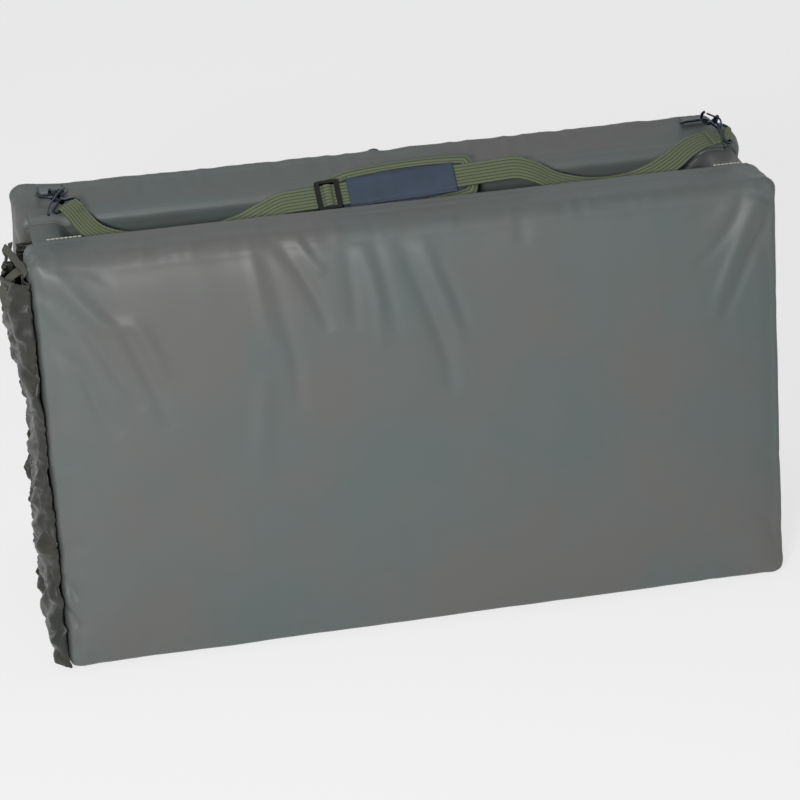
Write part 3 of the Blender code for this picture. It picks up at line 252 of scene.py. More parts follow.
# moulded acetal: black and satin, soft glints at the edges
mouldedAcetal = plainMaterial("mouldedAcetal", "#0c0d0e", 0.34, IOR=1.48, Specular_IOR_Level=0.35)

webbing = {"ribs": 7, "pick": 0.0016}  # picks are drawn coarser than the real 0.8 mm, so that they show


def webbingMaterial():  # polypropylene webbing: seven lengthwise ribs with painted shade in the grooves between them, and fine picks across
    made, tree, shader = startMaterial("polypropyleneWebbing", 0.62, Sheen_Weight=0.15)
    where = addNode(tree, "ShaderNodeUVMap", uv_map="route")
    parts = addNode(tree, "ShaderNodeSeparateXYZ", {}, {0: where.outputs["UV"]})
    turns = addNode(tree, "ShaderNodeMath", {1: webbing["ribs"] * 2 * pi}, {0: parts.outputs["X"]},
                    operation="MULTIPLY")
    ribs = addNode(tree, "ShaderNodeMath", {}, {0: turns.outputs[0]}, operation="COSINE")
    picksTurn = addNode(tree, "ShaderNodeMath", {1: 2 * pi / webbing["pick"]}, {0: parts.outputs["Y"]},
                        operation="MULTIPLY")
    picks = addNode(tree, "ShaderNodeMath", {}, {0: picksTurn.outputs[0]}, operation="SINE")
    # painted shade: the grooves between the ribs take the darker olive and the ribs the lighter one; the same
    # value also raises the ribs in the bump
    shade = addNode(tree, "ShaderNodeMapRange", {"From Min": -0.1, "To Min": 1.0, "To Max": 0.0},
                    {"Value": ribs.outputs[0]})
    mixed = addNode(tree, "ShaderNodeMix", {6: linear("#3f4734"), 7: linear("#6a7456")},
                    {0: shade.outputs[0]}, data_type="RGBA")
    tree.links.new(mixed.outputs[2], shader.inputs["Base Color"])
    both = addNode(tree, "ShaderNodeMath", {1: 0.25}, {0: picks.outputs[0], 2: shade.outputs[0]},
                   operation="MULTIPLY_ADD")
    bump = addNode(tree, "ShaderNodeBump", {"Strength": 0.8, "Distance": 0.0003}, {"Height": both.outputs[0]})
    tree.links.new(bump.outputs["Normal"], shader.inputs["Normal"])
    return made


webbingCloth = webbingMaterial()
print("finishes made")


# panels

lean = radians(9.6)
footDrop = 0.002384
panelFrames = {"front": Matrix.Translation((0, -0.112052, -footDrop)) @ Matrix.Rotation(-lean, 4, "X")}
panelFrames["rear"] = Matrix.Rotation(pi, 4, "Z") @ panelFrames["front"]
cover = {"length": 0.900, "height": 0.507, "thickness": 0.085, "crown": 0.006, "corner": 0.012,
         "lowEdge": 0.010, "highEdge": 0.024, "innerEdge": 0.008, "innerDepth": 0.0015, "voxel": 0.0055,
         "quickVoxel": 0.008, "cap": 0.005, "holdsEdge": 0.88, "foamShrink": 0.0090}


def panelRing(inset, depth):  # a rounded rectangle, from the right end's top corner
    halfX, halfZ = cover["length"] / 2 - inset, cover["height"] / 2 - inset
    radius = max(cover["corner"] - inset, cover["corner"] / 4)
    arcs = [[Vector((x * (halfX - radius) + radius * cos(radians(start + 15 * step)),
                     z * (halfZ - radius) + radius * sin(radians(start + 15 * step)))) for step in range(7)]
            for x, z, start in ((1, 1, 0), (-1, 1, 90), (-1, -1, 180), (1, -1, 270))]
    ring = []
    for arc, following, steps in zip(arcs, arcs[1:] + arcs[:1], (60, 34, 60, 34)):
        ring += arc + [arc[-1].lerp(following[0], step / steps) for step in range(1, steps)]
    return [Vector((p.x, -depth, p.y + cover["height"] / 2)) for p in ring]


def outerEdgeRing(turn, shrink):  # the outer edge is tighter at the foot than at the top
    low, high = [], []
    for ring, edge in ((low, cover["lowEdge"]), (high, cover["highEdge"])):
        radius = edge - min(shrink, edge - 0.002)
        depth = cover["thickness"] - shrink - radius * (1 - sin(turn))
        ring.extend(panelRing(shrink + radius * (1 - cos(turn)), depth))
    shares = [min(max(p.z / cover["height"], 0), 1) * min((cover["length"] / 2 - abs(p.x)) / 0.09, 1)
              for p in low]
    return [a.lerp(b, float(easeStep(0, 1, share))) for a, b, share in zip(low, high, shares)]


def panelSolid(name, shrink, finish, place):
    profile = [(0.20, cover["innerDepth"] + shrink), (0.05, cover["innerDepth"] + shrink)]
    inner = cover["innerEdge"] - shrink
    centre = cover["innerDepth"] + cover["innerEdge"]
    for step in range(7):
        turn = radians(90 - 15 * step)
        profile.append((shrink + inner * (1 - cos(turn)), centre - inner * sin(turn)))
    for share in (0.25, 0.5, 0.75):
        profile.append((shrink, centre + (cover["thickness"] - cover["highEdge"] - centre) * share * 0.95))
    rings = [panelRing(inset, depth) for inset, depth in profile]
    rings += [outerEdgeRing(radians(90 * step / 10), shrink) for step in range(11)]
    for inset in (0.034, 0.044, 0.056, 0.072, 0.096, 0.124, 0.152, 0.20):
        share = min((inset - cover["highEdge"]) / 0.128, 1)
        depth = cover["thickness"] - shrink + cover["crown"] * (1 - (1 - share) ** 2.6)
        rings.append(panelRing(inset, depth))
    return makeMesh(name, *loft(rings), finish, place)


settling = {"quality": 4, "mass": 0.25, "use_pressure": True, "uniform_pressure_force": 4}
settlingFrames = 20


def settle(obj):  # the sewn cover filled by its foam: pressure with no gravity
    cloth = obj.modifiers.new("settling", "CLOTH")
    for key, value in settling.items():
        setattr(cloth.settings, key, value)
    cloth.settings.effector_weights.gravity = 0
    cloth.point_cache.frame_start, cloth.point_cache.frame_end = 1, settlingFrames
    for at in range(1, settlingFrames + 1):
        scene.frame_set(at)
    shape = obj.evaluated_get(bpy.context.evaluated_depsgraph_get())
    settled = readPoints(shape.data).copy()
    obj.modifiers.remove(cloth)
    scene.frame_set(1)
    return settled


def foldField(places, folds):  # rows of height and half width in mm, then places across and up the panel
    lift = np.zeros(len(places))
    for height, width, *points in folds:
        line = [Vector((x / 1000, z / 1000)) for x, z in points]
        line = np.array([tuple(p) for p in smoothLine(line, 5)])
        nearest = np.full(len(places), 9.0)
        along = np.zeros(len(places))
        lengths = np.linalg.norm(np.diff(line, axis=0), axis=1)
        done = 0.0
        for start, end, length in zip(line[:-1], line[1:], lengths):
            way = end - start
            share = np.clip((places - start) @ way / (length * length), 0, 1)
            away = np.linalg.norm(places - start - share[:, None] * way, axis=1)
            closer = away < nearest
            nearest[closer] = away[closer]
            along[closer] = (done + share[closer] * length) / lengths.sum()
            done += length
        taper = np.sin(np.pi * np.clip(along, 0, 1)) ** 0.6
        lift += 1.4 * height / 1000 * taper * np.exp(-(nearest * 1000 / (width * 0.85)) ** 2)
    return lift


frontFolds = (
    (-2.2, 12, (-391, 479), (-345, 413), (-321, 349), (-300, 287)),
    (2.4, 12, (-437, 510), (-419, 488), (-373, 426), (-330, 412), (-304, 347)),
    (-2.0, 11, (-430, 466), (-391, 422), (-361, 366), (-330, 316)),
    (-1.8, 11, (-433, 406), (-401, 371), (-383, 320), (-360, 285)),
    (1.6, 10, (-194, 515), (-187, 455), (-181, 405), (-170, 367)),
    (1.2, 14, (-185, 344), (-195, 270), (-202, 214)),
    (-1.6, 10, (-174, 484), (-161, 422), (-149, 352), (-148, 289)),
    (-2.8, 10, (-164, 504), (-140, 468), (-117, 422), (-105, 384)),
    (2.0, 8, (-146, 508), (-122, 478), (-109, 452)),
    (-1.5, 7, (-129, 500), (-111, 464)),
    (-1.4, 10, (-80, 485), (-75, 423), (-74, 380)),
    (1.3, 9, (-62, 486), (-48, 426), (-44, 351)),
    (-1.3, 9, (-46, 490), (-33, 425), (-24, 368)),
    (-2.8, 12, (-17, 487), (1, 439), (19, 387), (34, 336), (38, 285)),
    (1.6, 12, (8, 487), (24, 439), (40, 387), (56, 340)),
    (-1.4, 9, (27, 461), (48, 409), (60, 364)),
    (2.4, 9, (428, 496), (407, 454), (384, 406), (360, 346)),
    (-2.4, 9, (444, 470), (415, 421), (392, 374), (372, 338)),
    (-1.8, 8, (408, 500), (392, 462), (366, 430), (340, 412)),
    (-0.8, 12, (133, 503), (133, 460)),
    (-1.6, 5, (-446, 118), (-436, 96), (-431, 84)),
    (-1.6, 5, (-447, 78), (-438, 60), (-434, 50)),
    (1.6, 6, (-446, 98), (-437, 76), (-430, 66)),
    (-1.4, 5, (446, 474), (430, 486), (414, 492)),
)
rearFolds = (
    (-1.8, 14, (-300, 480), (-270, 400), (-255, 320)),
    (1.6, 13, (-270, 490), (-240, 410), (-228, 330)),
    (-1.6, 12, (60, 490), (85, 420), (96, 350)),
    (1.5, 14, (250, 485), (225, 400), (212, 310)),
    (-1.8, 12, (410, 470), (380, 410), (356, 350)),
    (1.4, 14, (-420, 120), (-360, 170), (-300, 196)),
)


# where on a cover each part of its dressing begins and ends, by depth, by height or along its length
zone = {"face": (0.066, 0.083), "rim": (0.480, 0.504), "top": (0.022, 0.050), "end": (0.40, 0.445),
        "corner": (0.03, 0.09), "edge": (0.064, 0.078), "edgeHeight": (0.484, 0.498), "foot": (0.040, 0.080),
        "footHeight": (0.004, 0.05), "seamStart": (0.004, 0.008), "seamStop": (0.026, 0.036),
        "seamHeight": (0.497, 0.501), "seamEnd": (0.437, 0.446), "tabs": (0.026, 0.05),
        "room": (0.060, 0.074)}
dressing = {"wave": (0.0011, 0.12), "smallWave": (0.0004, 0.035), "rimWave": (0.0010, 0.030),
            "cornerWave": (0.0022, 0.020), "pucker": 0.0022, "puckerSize": (0.022, 0.09), "footDrop": 0.0065,
            "seamTop": 0.5069, "swell": 0.003, "tabAt": 0.403, "tabReach": 0.030, "roomReach": (0.020, 0.025)}
frontDress = {"folds": frontFolds, "shift": Vector((3.1, 0.4, 7.7)), "square": 0.0005, "drawn": False,
              "room": (-0.226, 0.487, 0.0010)}  # room for the strap's second layer when the mat is unfolded
rearDress = {"folds": rearFolds, "shift": Vector((9.2, 5.4, 1.3)), "square": 0.0055, "drawn": True,
             "room": (-0.410, 0.500, 0.0055)}  # room for the right hook when the mat is unfolded
rearCorner = {"drawIn": 0.024, "depth": (0.046, 0.085), "height": (0.40, 0.49), "end": (0.37, 0.45),
              "swell": 0.004, "swellAt": 0.040, "swellWidth": 0.020}
rearBulge = {"out": 0.0045, "at": 0.43, "reach": 0.05, "depth": (0.010, 0.03), "end": (0.42, 0.449)}


def inZone(name, values):
    return easeStep(*zone[name], values)


def drawCorner(places, swell):  # the rear panel's right back corner is drawn in at the top
    depth = -places[:, 1]
    nearEnd = easeStep(*rearCorner["height"], places[:, 2]) * easeStep(*rearCorner["end"], -places[:, 0])
    places[:, 0] += rearCorner["drawIn"] * easeStep(*rearCorner["depth"], depth) * nearEnd
    swollen = np.exp(-((depth - rearCorner["swellAt"]) / rearCorner["swellWidth"]) ** 2)
    places[:, 0] -= swell * swollen * nearEnd


def coverLift(places, depth, dress):  # wrinkles, folds and soft waves, as heights above the settled cover
    shift = dress["shift"]
    onFace, onTop = inZone("face", depth), inZone("rim", places[:, 2])
    lift = foldField(places[:, [0, 2]], dress["folds"]) * onFace
    lift += waves(places, dressing["wave"], shift) + waves(places, dressing["smallWave"], shift)
    lift += onTop * onFace * waves(places * np.array((1.0, 2.4, 2.4)), dressing["rimWave"], shift)
    wide, deep = dressing["puckerSize"]
    rows = shift + Vector((0, 0, 0.35))
    pucker = np.array([abs(noiseAt(p[0] / wide, p[1] / deep, 0, rows)) for p in places])
    lift -= dressing["pucker"] * pucker * onTop * inZone("top", depth)
    fromEnds = np.minimum(places[:, 2], cover["height"] - places[:, 2])
    corners = inZone("end", np.abs(places[:, 0])) * (1 - inZone("corner", fromEnds))
    lift += corners * waves(places, dressing["cornerWave"], shift)
    return lift + dress["square"] * inZone("edge", depth) * inZone("edgeHeight", places[:, 2])


def dressCover(obj, dress):
    places = readPoints(obj.data)
    normals = readPoints(obj.data, "normal")
    depth = -places[:, 1]
    places = places + normals * coverLift(places, depth, dress)[:, None]
    if dress["drawn"]:  # the rear panel's other end bulges
        drawCorner(places, rearCorner["swell"])
        bulge = np.exp(-((places[:, 2] - rearBulge["at"]) / rearBulge["reach"]) ** 2)
        bulge *= easeStep(*rearBulge["depth"], depth)
        places[:, 0] += rearBulge["out"] * bulge * easeStep(*rearBulge["end"], places[:, 0])
    foot = inZone("foot", depth) * (1 - inZone("footHeight", places[:, 2]))
    places[:, 2] -= dressing["footDrop"] * foot
    seam = inZone("seamStart", depth) * (1 - inZone("seamStop", depth))
    seam *= inZone("seamHeight", places[:, 2])
    seam *= 1 - inZone("seamEnd", np.abs(places[:, 0]))
    # the web's sewn edge stays pressed in
    places[:, 2] += seam * np.maximum(dressing["seamTop"] - places[:, 2], 0)
    nearTab = np.exp(-((np.abs(places[:, 0]) - dressing["tabAt"]) / dressing["tabReach"]) ** 4)
    high = cover["height"] + dressing["swell"] * inZone("tabs", depth) * (1 - nearTab)
    places[:, 2] = np.minimum(places[:, 2], high)  # the top swells little, and not under the ring tabs
    (across, up, deep), (wide, tall) = dress["room"], dressing["roomReach"]
    near = np.exp(-((places[:, 0] - across) / wide) ** 2 - ((places[:, 2] - up) / tall) ** 2)
    places -= normals * (deep * near * inZone("room", depth))[:, None]
    places[:, 1] = np.minimum(places[:, 1], -cover["innerDepth"])
    height = -places[:, 1] * sin(lean) + places[:, 2] * cos(lean)
    rise = np.maximum(footDrop - height, 0)  # nothing goes below the floor
    places[:, 1] -= rise * sin(lean)
    places[:, 2] += rise * cos(lean)
    writePoints(obj.data, places)


def buildPanels():
    made = {}
    base = panelSolid("frontPanelCover", 0, coatedPolyester, panelFrames["front"])
    remesh = base.modifiers.new("even", "REMESH")
    remesh.mode = "VOXEL"
    remesh.voxel_size = cover["voxel"]
    bake(base)
    before = readPoints(base.data)
    normals = readPoints(base.data, "normal")
    moved = settle(base) - before
    inward = np.minimum((moved * normals).sum(axis=1), 0)
    moved -= normals * (inward * cover["holdsEdge"])[:, None]
    length = np.maximum(np.linalg.norm(moved, axis=1), 1e-9)
    kept = cover["cap"] * np.tanh(length / cover["cap"]) / length
    writePoints(base.data, before + moved * kept[:, None])
    print("cover settled, moved at most", round(float(length.max()) * 1000, 1), "mm before the cap")
    finer = base.modifiers.new("finer", "SUBSURF")
    finer.levels = finer.render_levels = 1
    bake(base)
    other = base.copy()
    other.data = base.data.copy()
    other.name = "rearPanelCover"
    scene.collection.objects.link(other)
    other.matrix_world = panelFrames["rear"]
    dressCover(base, frontDress)
    dressCover(other, rearDress)
    for side, obj in (("front", base), ("rear", other)):
        finishWith(obj, coatedPolyester)
        foam = panelSolid(side + "FoamSlab", cover["foamShrink"], cellFoam, panelFrames[side])
        if side == "rear":
            places = readPoints(foam.data)
            drawCorner(places, 0)
            writePoints(foam.data, places)
        standFor(obj, side + "_cover", side + "_panel")
        standFor(foam, side + "_foam", side + "_panel")
        made[side] = obj
    return made


panels = buildPanels()
print("panels made")


# lying sheets: sewn over the covers' lips, on the inner faces

lyingSheet = {"width": 0.8816, "length": 0.4886, "inset": 0.0092, "thickness": 0.0009}


def buildLyingSheet(side, shift):
    rows, columns = 62, 110
    points = []
    for row in range(rows):
        for column in range(columns):
            x = -lyingSheet["width"] / 2 + lyingSheet["width"] * column / (columns - 1)
            z = lyingSheet["inset"] + lyingSheet["length"] * row / (rows - 1)
            wave = 0.0011 * max(noiseAt(x / 0.07, 0, z / 0.11, shift), 0)
            rim = min(row, rows - 1 - row, column, columns - 1 - column)
            points.append((x, -0.0007 + wave * min(rim / 6, 1), z))
    obj = makeMesh(side + "LyingSheet", points, gridFaces(rows, columns), lyingCloth, panelFrames[side])
    thicken(obj, lyingSheet["thickness"])
    standFor(obj, side + "_lying_sheet", side + "_panel")


buildLyingSheet("front", Vector((1.5, 2.0, 0.3)))
buildLyingSheet("rear", Vector((6.5, 1.0, 4.3)))


# fold web: hangs between the inner top edges, taut at its two ends

foldWeb = {"halfLength": 0.436, "thickness": 0.0010, "endSag": 0.006, "middleSag": 0.050, "rim": 0.497516,
           "halfGap": 0.0275, "lift": 0.0009, "seam": 0.012, "flat": (0.872, 0.148),
           "sagFrom": (0.030, 0.065)}


def webSag(x):
    eased = float(easeStep(*foldWeb["sagFrom"], foldWeb["halfLength"] - abs(x)))
    return foldWeb["endSag"] + (foldWeb["middleSag"] - foldWeb["endSag"]) * eased


def webHalf(x):
    lift, edge = foldWeb["lift"], cover["innerDepth"] + cover["innerEdge"]
    depthUnit, upUnit = Vector((cos(lean), sin(lean))), Vector((-sin(lean), cos(lean)))
    rim = Vector((foldWeb["halfGap"], foldWeb["rim"]))
    sewn = rim + depthUnit * (edge + foldWeb["seam"]) - upUnit * 0.0008  # its edge is pressed into the cover
    points = [sewn, rim + depthUnit * (edge + foldWeb["seam"] / 2), rim + depthUnit * edge + upUnit * lift]
    centre = rim + depthUnit * edge - upUnit * cover["innerEdge"]
    for angle in (25, 50):
        turn = radians(angle)
        out = upUnit * cos(turn) - depthUnit * sin(turn)
        points.append(centre + (cover["innerEdge"] + lift) * out)
    sag = webSag(x)
    beside = depthUnit * (lift + 0.0003)
    shoulder = min(sag * 0.5, edge)
    hang = max(sag * 0.62, shoulder * 1.15)
    points += [rim - upUnit * shoulder - beside, rim - upUnit * hang - beside]
    points.append(Vector((points[-1].x * 0.6, foldWeb["rim"] - max(sag * 0.90, hang * 1.15))))
    points.append(Vector((0, foldWeb["rim"] - sag)))
    return points


def buildFoldWeb():
    stations = 220
    points = []
    for station in range(stations):
        x = foldWeb["halfLength"] * (2 * station / (stations - 1) - 1)
        rear = webHalf(x)
        section = smoothLine(rear + [Vector((-p.x, p.y)) for p in reversed(rear[:-1])], 4)
        for index, p in enumerate(section):
            free = sin(pi * index / (len(section) - 1)) ** 2
            wave = 0.0016 * free * noiseAt(x / 0.030, p.x / 0.05, 2.0)
            points.append((x, p.x, p.y + wave))
    obj = makeMesh("foldWeb", points, gridFaces(stations, len(section)), coatedPolyester)
    thicken(obj, foldWeb["thickness"])
    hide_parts("fold_web")
    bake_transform(obj)


buildFoldWeb()
print("web made")


# stitches: small beads of thread along a line

seamStitch = {"length": 0.0052, "gap": -0.0004, "radius": 0.0012}  # thick cream thread, end to end
padStitch = {"length": 0.0022, "gap": 0.0010, "radius": 0.00030}
stitchShares = ((-0.5, 0.35), (-0.25, 0.9), (0.25, 0.9), (0.5, 0.35))


def buildStitches(name, lines, stitch, finish, body):
    points, faces = [], []
    for line in lines:
        places = [Vector(p) for p in line]
        for start, end in zip(places[:-1], places[1:]):
            way = end - start
            count = max(int(way.length / (stitch["length"] + stitch["gap"])), 1)
            along = way.normalized()
            across = along.orthogonal().normalized()
            other = along.cross(across)
            for index in range(count):
                middle = start + way * (index + 0.5) / count
                first = len(points)
                for at, width in stitchShares:
                    for turn in range(6):
                        angle = pi * turn / 3
                        out = across * cos(angle) + other * sin(angle)
                        points.append(middle + along * stitch["length"] * at + stitch["radius"] * width * out)
                for row in range(3):
                    for turn in range(6):
                        a, b = first + row * 6 + turn, first + row * 6 + (turn + 1) % 6
                        faces.append((a, b, b + 6, a + 6))
                faces.append(tuple(range(first, first + 6)))
                faces.append(tuple(range(first + 18, first + 24)))
    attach(makeMesh(name, points, faces, finish), body)


seamLines = [[(x, -0.0285, 0.4985) for x in ends] for ends in ((-0.4200, -0.378), (0.3950, 0.4300))]
buildStitches("webSeamStitches", seamLines, seamStitch, seamThread, "front_panel")


# bands: webbing, tail, tabs and loops, all drawn along a line

def buildBand(name, centres, widths, width, thickness, finish, ribs=0, place=None):
    halfColumns = 42 if ribs else 8
    section = []
    for column in range(halfColumns + 1):
        s = column / halfColumns - 0.5
        rounding = sqrt(max(1 - (2 * abs(s)) ** 14, 0.0))
        rib = 0.16 * (1 - cos(2 * pi * ribs * (s + 0.5))) / 2 if ribs else 0
        section.append((s, (0.34 + rib) * rounding if ribs else 0.5 * rounding))
    outline = section + [(s, -h) for s, h in reversed(section[1:-1])]
    rings, marks = [], []
    done = 0.0
    for index, centre in enumerate(centres):
        along = directionAt(centres, index)
        across = (widths[index] - along * widths[index].dot(along)).normalized()
        normal = along.cross(across).normalized()
        if index:
            done += (centre - centres[index - 1]).length
        rings.append([centre + across * width * s + normal * thickness * h for s, h in outline])
        marks += [(s + 0.5, done) for s, _ in outline]
    obj = makeMesh(name, *loft(rings), finish, place)
    markRoute(obj.data, lambda index: marks[index])
    return obj


# end skirts: gathered nylon between the panels' ends, each half on its own panel

skirt = {"pleats": 5, "thickness": 0.0006, "inboard": 0.022, "topDrop": 0.026, "floorGap": 0.008,
         "middleGap": 0.0062, "near": 0.0001, "flat": (0.460, 0.185), "wrapFlat": (0.460, 0.330),
         "rightFlat": (0.460, 0.135), "spread": {"left": 1.0, "right": 0.12}, "rearShare": 0.62, "rows": 150,
         "pleatColumns": 16, "wrapColumns": 126}
hem = {"rows": 46, "width": 0.0095, "thickness": 0.0020}
# in mm: height up the panel, and how far the left skirt stands out there
skirtOutline = ((0, 5), (12, 9), (41, 21), (78, 12), (87, 9), (106, 18), (134, 18), (168, 20), (195, 18),
                (240, 13), (277, 11), (307, 11), (350, 14), (395, 22), (430, 27), (465, 26), (500, 18))


def skirtBulge(z):
    for (lowZ, low), (highZ, high) in zip(skirtOutline[:-1], skirtOutline[1:]):
        if z * 1000 <= highZ:
            return (low + (high - low) * (z * 1000 - lowZ) / (highZ - lowZ)) / 1000
    return skirtOutline[-1][1] / 1000


def skirtReach(z):
    return foldWeb["halfGap"] + (cover["height"] - z) * tan(lean) - skirt["middleGap"]


def crumple(across, z, seed):  # creased nylon: soft lobes between sharp valleys
    cell = noise.voronoi(Vector((across * 0.21 / 0.026 + z / 0.12, z / 0.034, 0)) + seed)[0]
    lobes = min(cell[1] - cell[0], 0.7)
    small = 0.5 - abs(noiseAt(across * 0.21 / 0.016, z / 0.011, 2.0, seed))
    fine = abs(noiseAt(across * 0.21 / 0.007, z / 0.009, 5.0, seed))
    return 0.0140 * (lobes - 0.3) + 0.0044 * small - 0.0026 * fine


def skirtHeight(across, down):
    top = cover["height"] - skirt["topDrop"]
    guess = skirtReach(top * (1 - down)) * across
    lowest = (footDrop + skirt["floorGap"] + guess * sin(lean)) / cos(lean)
    return lowest + (top - lowest) * (1 - down)


def skirtPlace(side, across, down, phase, spread):
    z = skirtHeight(across, down)
    y = skirt["near"] + (skirtReach(z) - skirt["near"]) * across
    seed = Vector((side * 3.0 + phase, 0, 0))
    wander = 0.09 * noiseAt(across * 3, z / 0.07, 1.0, seed) * sin(pi * across)
    swing = (1 - cos(pi * skirt["pleats"] * (across + wander))) / 2
    uneven = 0.80 + 0.35 * noiseAt(across * 4, z / 0.05, 4.0, seed)
    x = cover["length"] / 2 - skirt["inboard"] + (skirt["inboard"] + spread * skirtBulge(z)) * swing * uneven
    free = min(across * 6, 1)
    x += free * crumple(across, z, seed) * (0.4 + 0.6 * spread)
    y += free * (1 - across) * 0.0030 * noiseAt(across * 4, z / 0.022, 12.0, seed)
    return Vector((side * x, max(y, skirt["near"]), z))


# out from the end wall, y from the inner face, share of the bulge, share of the way to the middle
wrapSection = ((-0.022, 0.0009, 0, 0), (-0.006, 0.0012, 0, 0), (0.0028, 0.0005, 0, 0), (0.0036, -0.030, 0, 0),
               (0.0042, -0.066, 0, 0), (0.0006, -0.0880, 0.06, 0), (0.0030, -0.072, 0.75, 0),
               (0.0020, -0.030, 1.0, 0), (0, 0, 1.0, 0.05), (0, 0, 0.62, 0.28), (0, 0, 1.0, 0.50),
               (0, 0, 0.55, 0.76), (0, 0, 0.85, 1.0))


def wrapLine(z, phase):  # the left front half is baggy: it folds forward over the panel's end wall and back
    bulge, reach = skirtBulge(z), skirtReach(z)
    forward = 1 - 0.10 * noiseAt(z / 0.06, 5.0, phase)
    forward -= 0.06 * noiseAt(z / 0.017, 2.0, phase)
    keys = [Vector((cover["length"] / 2 + out + bulge * share, y * forward + reach * ahead, z))
            for out, y, share, ahead in wrapSection]
    return smoothLine(keys, 9)


def wrapPlace(across, down, phase):
    z = skirtHeight(0, down)
    line = wrapLine(z, phase)
    at = across * (len(line) - 1)
    low = min(int(at), len(line) - 2)
    p = line[low].lerp(line[low + 1], at - low)
    outside = max(across - 0.35, 0) / 0.65
    push = crumple(across * 1.6, z, Vector((phase, 4.0, 1.0))) * min(outside * 8, 1)
    z += p.y * tan(lean) * down ** 3 * (1 if p.y > 0 else 0.8)  # its foot keeps level with the floor
    return Vector((-(p.x + push), p.y, z + 0.004 * outside * noiseAt(p.y / 0.02, z / 0.03, 0)))


def buildSkirt(name, node, side, half, phase, spread):
    wraps = half == "front" and spread == 1
    rows = skirt["rows"]
    columns = skirt["wrapColumns"] if wraps else skirt["pleats"] * skirt["pleatColumns"] + 1
    points = []
    for row in range(rows):
        for column in range(columns):
            across, down = column / (columns - 1), row / (rows - 1)
            points.append(wrapPlace(across, down, phase) if wraps
                          else skirtPlace(side, across, down, phase, spread))
    obj = makeMesh(name, points, gridFaces(rows, columns), skirtNylon, panelFrames[half])
    thicken(obj, skirt["thickness"])
    standFor(obj, node, half + "_panel")


# the hem's way over the skirt's top: out from the end wall, y, drop from the panel's top
hemTop = ((0.0150, 0.0160, 0.0150), (0.0185, 0.0040, 0.0040), (0.0130, -0.0220, 0.0050),
          (0.0070, -0.0440, 0.0100), (0.0010, -0.0620, 0.0150), (0.0000, -0.0760, 0.0180))


def buildHem(name, node, side, half, phase, spread):  # elastic up the skirt's free edge and over its top
    line = []
    for row in range(hem["rows"], -1, -1):
        down = row / hem["rows"]
        wraps = half == "front" and spread == 1
        p = wrapPlace(1, down, phase) if wraps else skirtPlace(side, 1, down, phase, spread)
        line.append(p + Vector((side * 0.001, 0.0030, 0)))
    over = hemTop[:len(hemTop) if half == "front" else 1]
    over = over if spread > 0.3 else ()  # at the right end none stands out
    for out, y, drop in over:
        x = cover["length"] / 2 + 0.0015 + out * spread
        line.append(Vector((side * x, y, cover["height"] - drop)))
    widths = [Vector((-side * 0.35, 0.94, 0.0))] * (hem["rows"] + 1)
    widths += [Vector((side * 0.55, -0.15, -0.85))] * len(over)
    line, widths = smoothLine(line, 4), smoothLine(widths, 4)
    pleated = [p + Vector((side * 0.0007 * sin(index * 1.7), 0, 0)) for index, p in enumerate(line)]
    obj = buildBand(name, pleated, widths, hem["width"], hem["thickness"], hemElastic,
                    place=panelFrames[half])
    standFor(obj, node, half + "_panel")


for tag, sign in (("left", -1), ("right", 1)):
    for half, turn, phase in (("front", 1, 0.4), ("rear", -1, 2.1)):
        label = tag + half.capitalize()
        spread = skirt["spread"][tag] * (skirt["rearShare"] if half == "rear" else 1)
        buildSkirt(label + "Skirt", tag + "_skirt_" + half, sign * turn, half, phase, spread)
        buildHem(label + "Hem", tag + "_hem_" + half, sign * turn, half, phase, spread)
print("skirts made")


# strap: 30 mm webbing from eye to eye, straight where the slider and the pad move

strap = {"width": 0.030, "thickness": 0.0018, "layerGap": 0.0004, "foldBack": 0.028, "tilt": 40,
         "startX": -0.1282, "startRise": -0.0038, "endRise": 0.0085, "y": 0.011985, "wrapRadius": 0.0031,
         "ringOffset": 0.403, "padTravel": 0.0310, "sliderFromStart": 0.0527, "sliderLength": 0.0290,
         "sliderGap": 0.0023, "padSolid": 0.163, "steerBy": 0.045}
strapUnit = cover["thickness"]
leftEye = (Vector((-0.387425, 0.024852, 0.514002)), headingVector(38, 6))
rightEye = (Vector((0.435669, 0.039346, 0.50585)), headingVector(76, 9))
# rows: share along x, y and z in units of the padding, then heading and rise of the width in degrees
leftEndRows = ((0.315, 0.150, 0.095, 46, 8), (0.442, -0.010, -0.030, 50, 14), (0.612, -0.080, -0.150, 56, 22))
rightEndRows = ((0.056, 0.430, 0.072, 78, 12), (0.321, 0.280, 0.035, 80, 20), (0.585, 0.120, -0.060, 82, 28))
leftRunRows = ((0.889, -0.100, -0.260, 66, 30), (0.717, -0.060, -0.340, 78, 38),
               (0.475, -0.010, -0.370, 86, 40), (0.273, 0.040, -0.290, 90, 40),
               (0.131, 0.095, -0.155, 90, 40))
rightRunRows = ((0.876, 0.010, -0.170, 82, 32), (0.711, -0.020, -0.260, 84, 28),
                (0.516, -0.040, -0.250, 86, 32), (0.334, -0.010, -0.130, 88, 34),
                (0.206, 0.075, 0.030, 90, 38), (0.107, 0.130, 0.105, 90, 40))
straightLength = (strap["sliderFromStart"] + strap["sliderLength"] / 2 + strap["sliderGap"]
                  + strap["padSolid"] + strap["padTravel"])
straightRise = strap["endRise"] - strap["startRise"]
straightStart = Vector((strap["startX"], strap["y"], foldWeb["rim"] + strap["startRise"]))
straightEnd = straightStart + Vector((sqrt(straightLength ** 2 - straightRise ** 2), 0, straightRise))
straightWidth = headingVector(90, strap["tilt"])


def routeKeys(sign, straightX, endRows, runRows):
    keys = []
    for share, yShare, zShare, heading, rise in endRows:
        keys.append((sign * (strap["ringOffset"] - share * strapUnit), yShare, zShare, heading, rise))
    lastX = keys[-1][0]
    for share, yShare, zShare, heading, rise in runRows:
        keys.append((straightX + (lastX - straightX) * share, yShare, zShare, heading, rise))
    return [(Vector((x, y * strapUnit, foldWeb["rim"] + z * strapUnit)), headingVector(heading, rise))
            for x, y, z, heading, rise in keys]


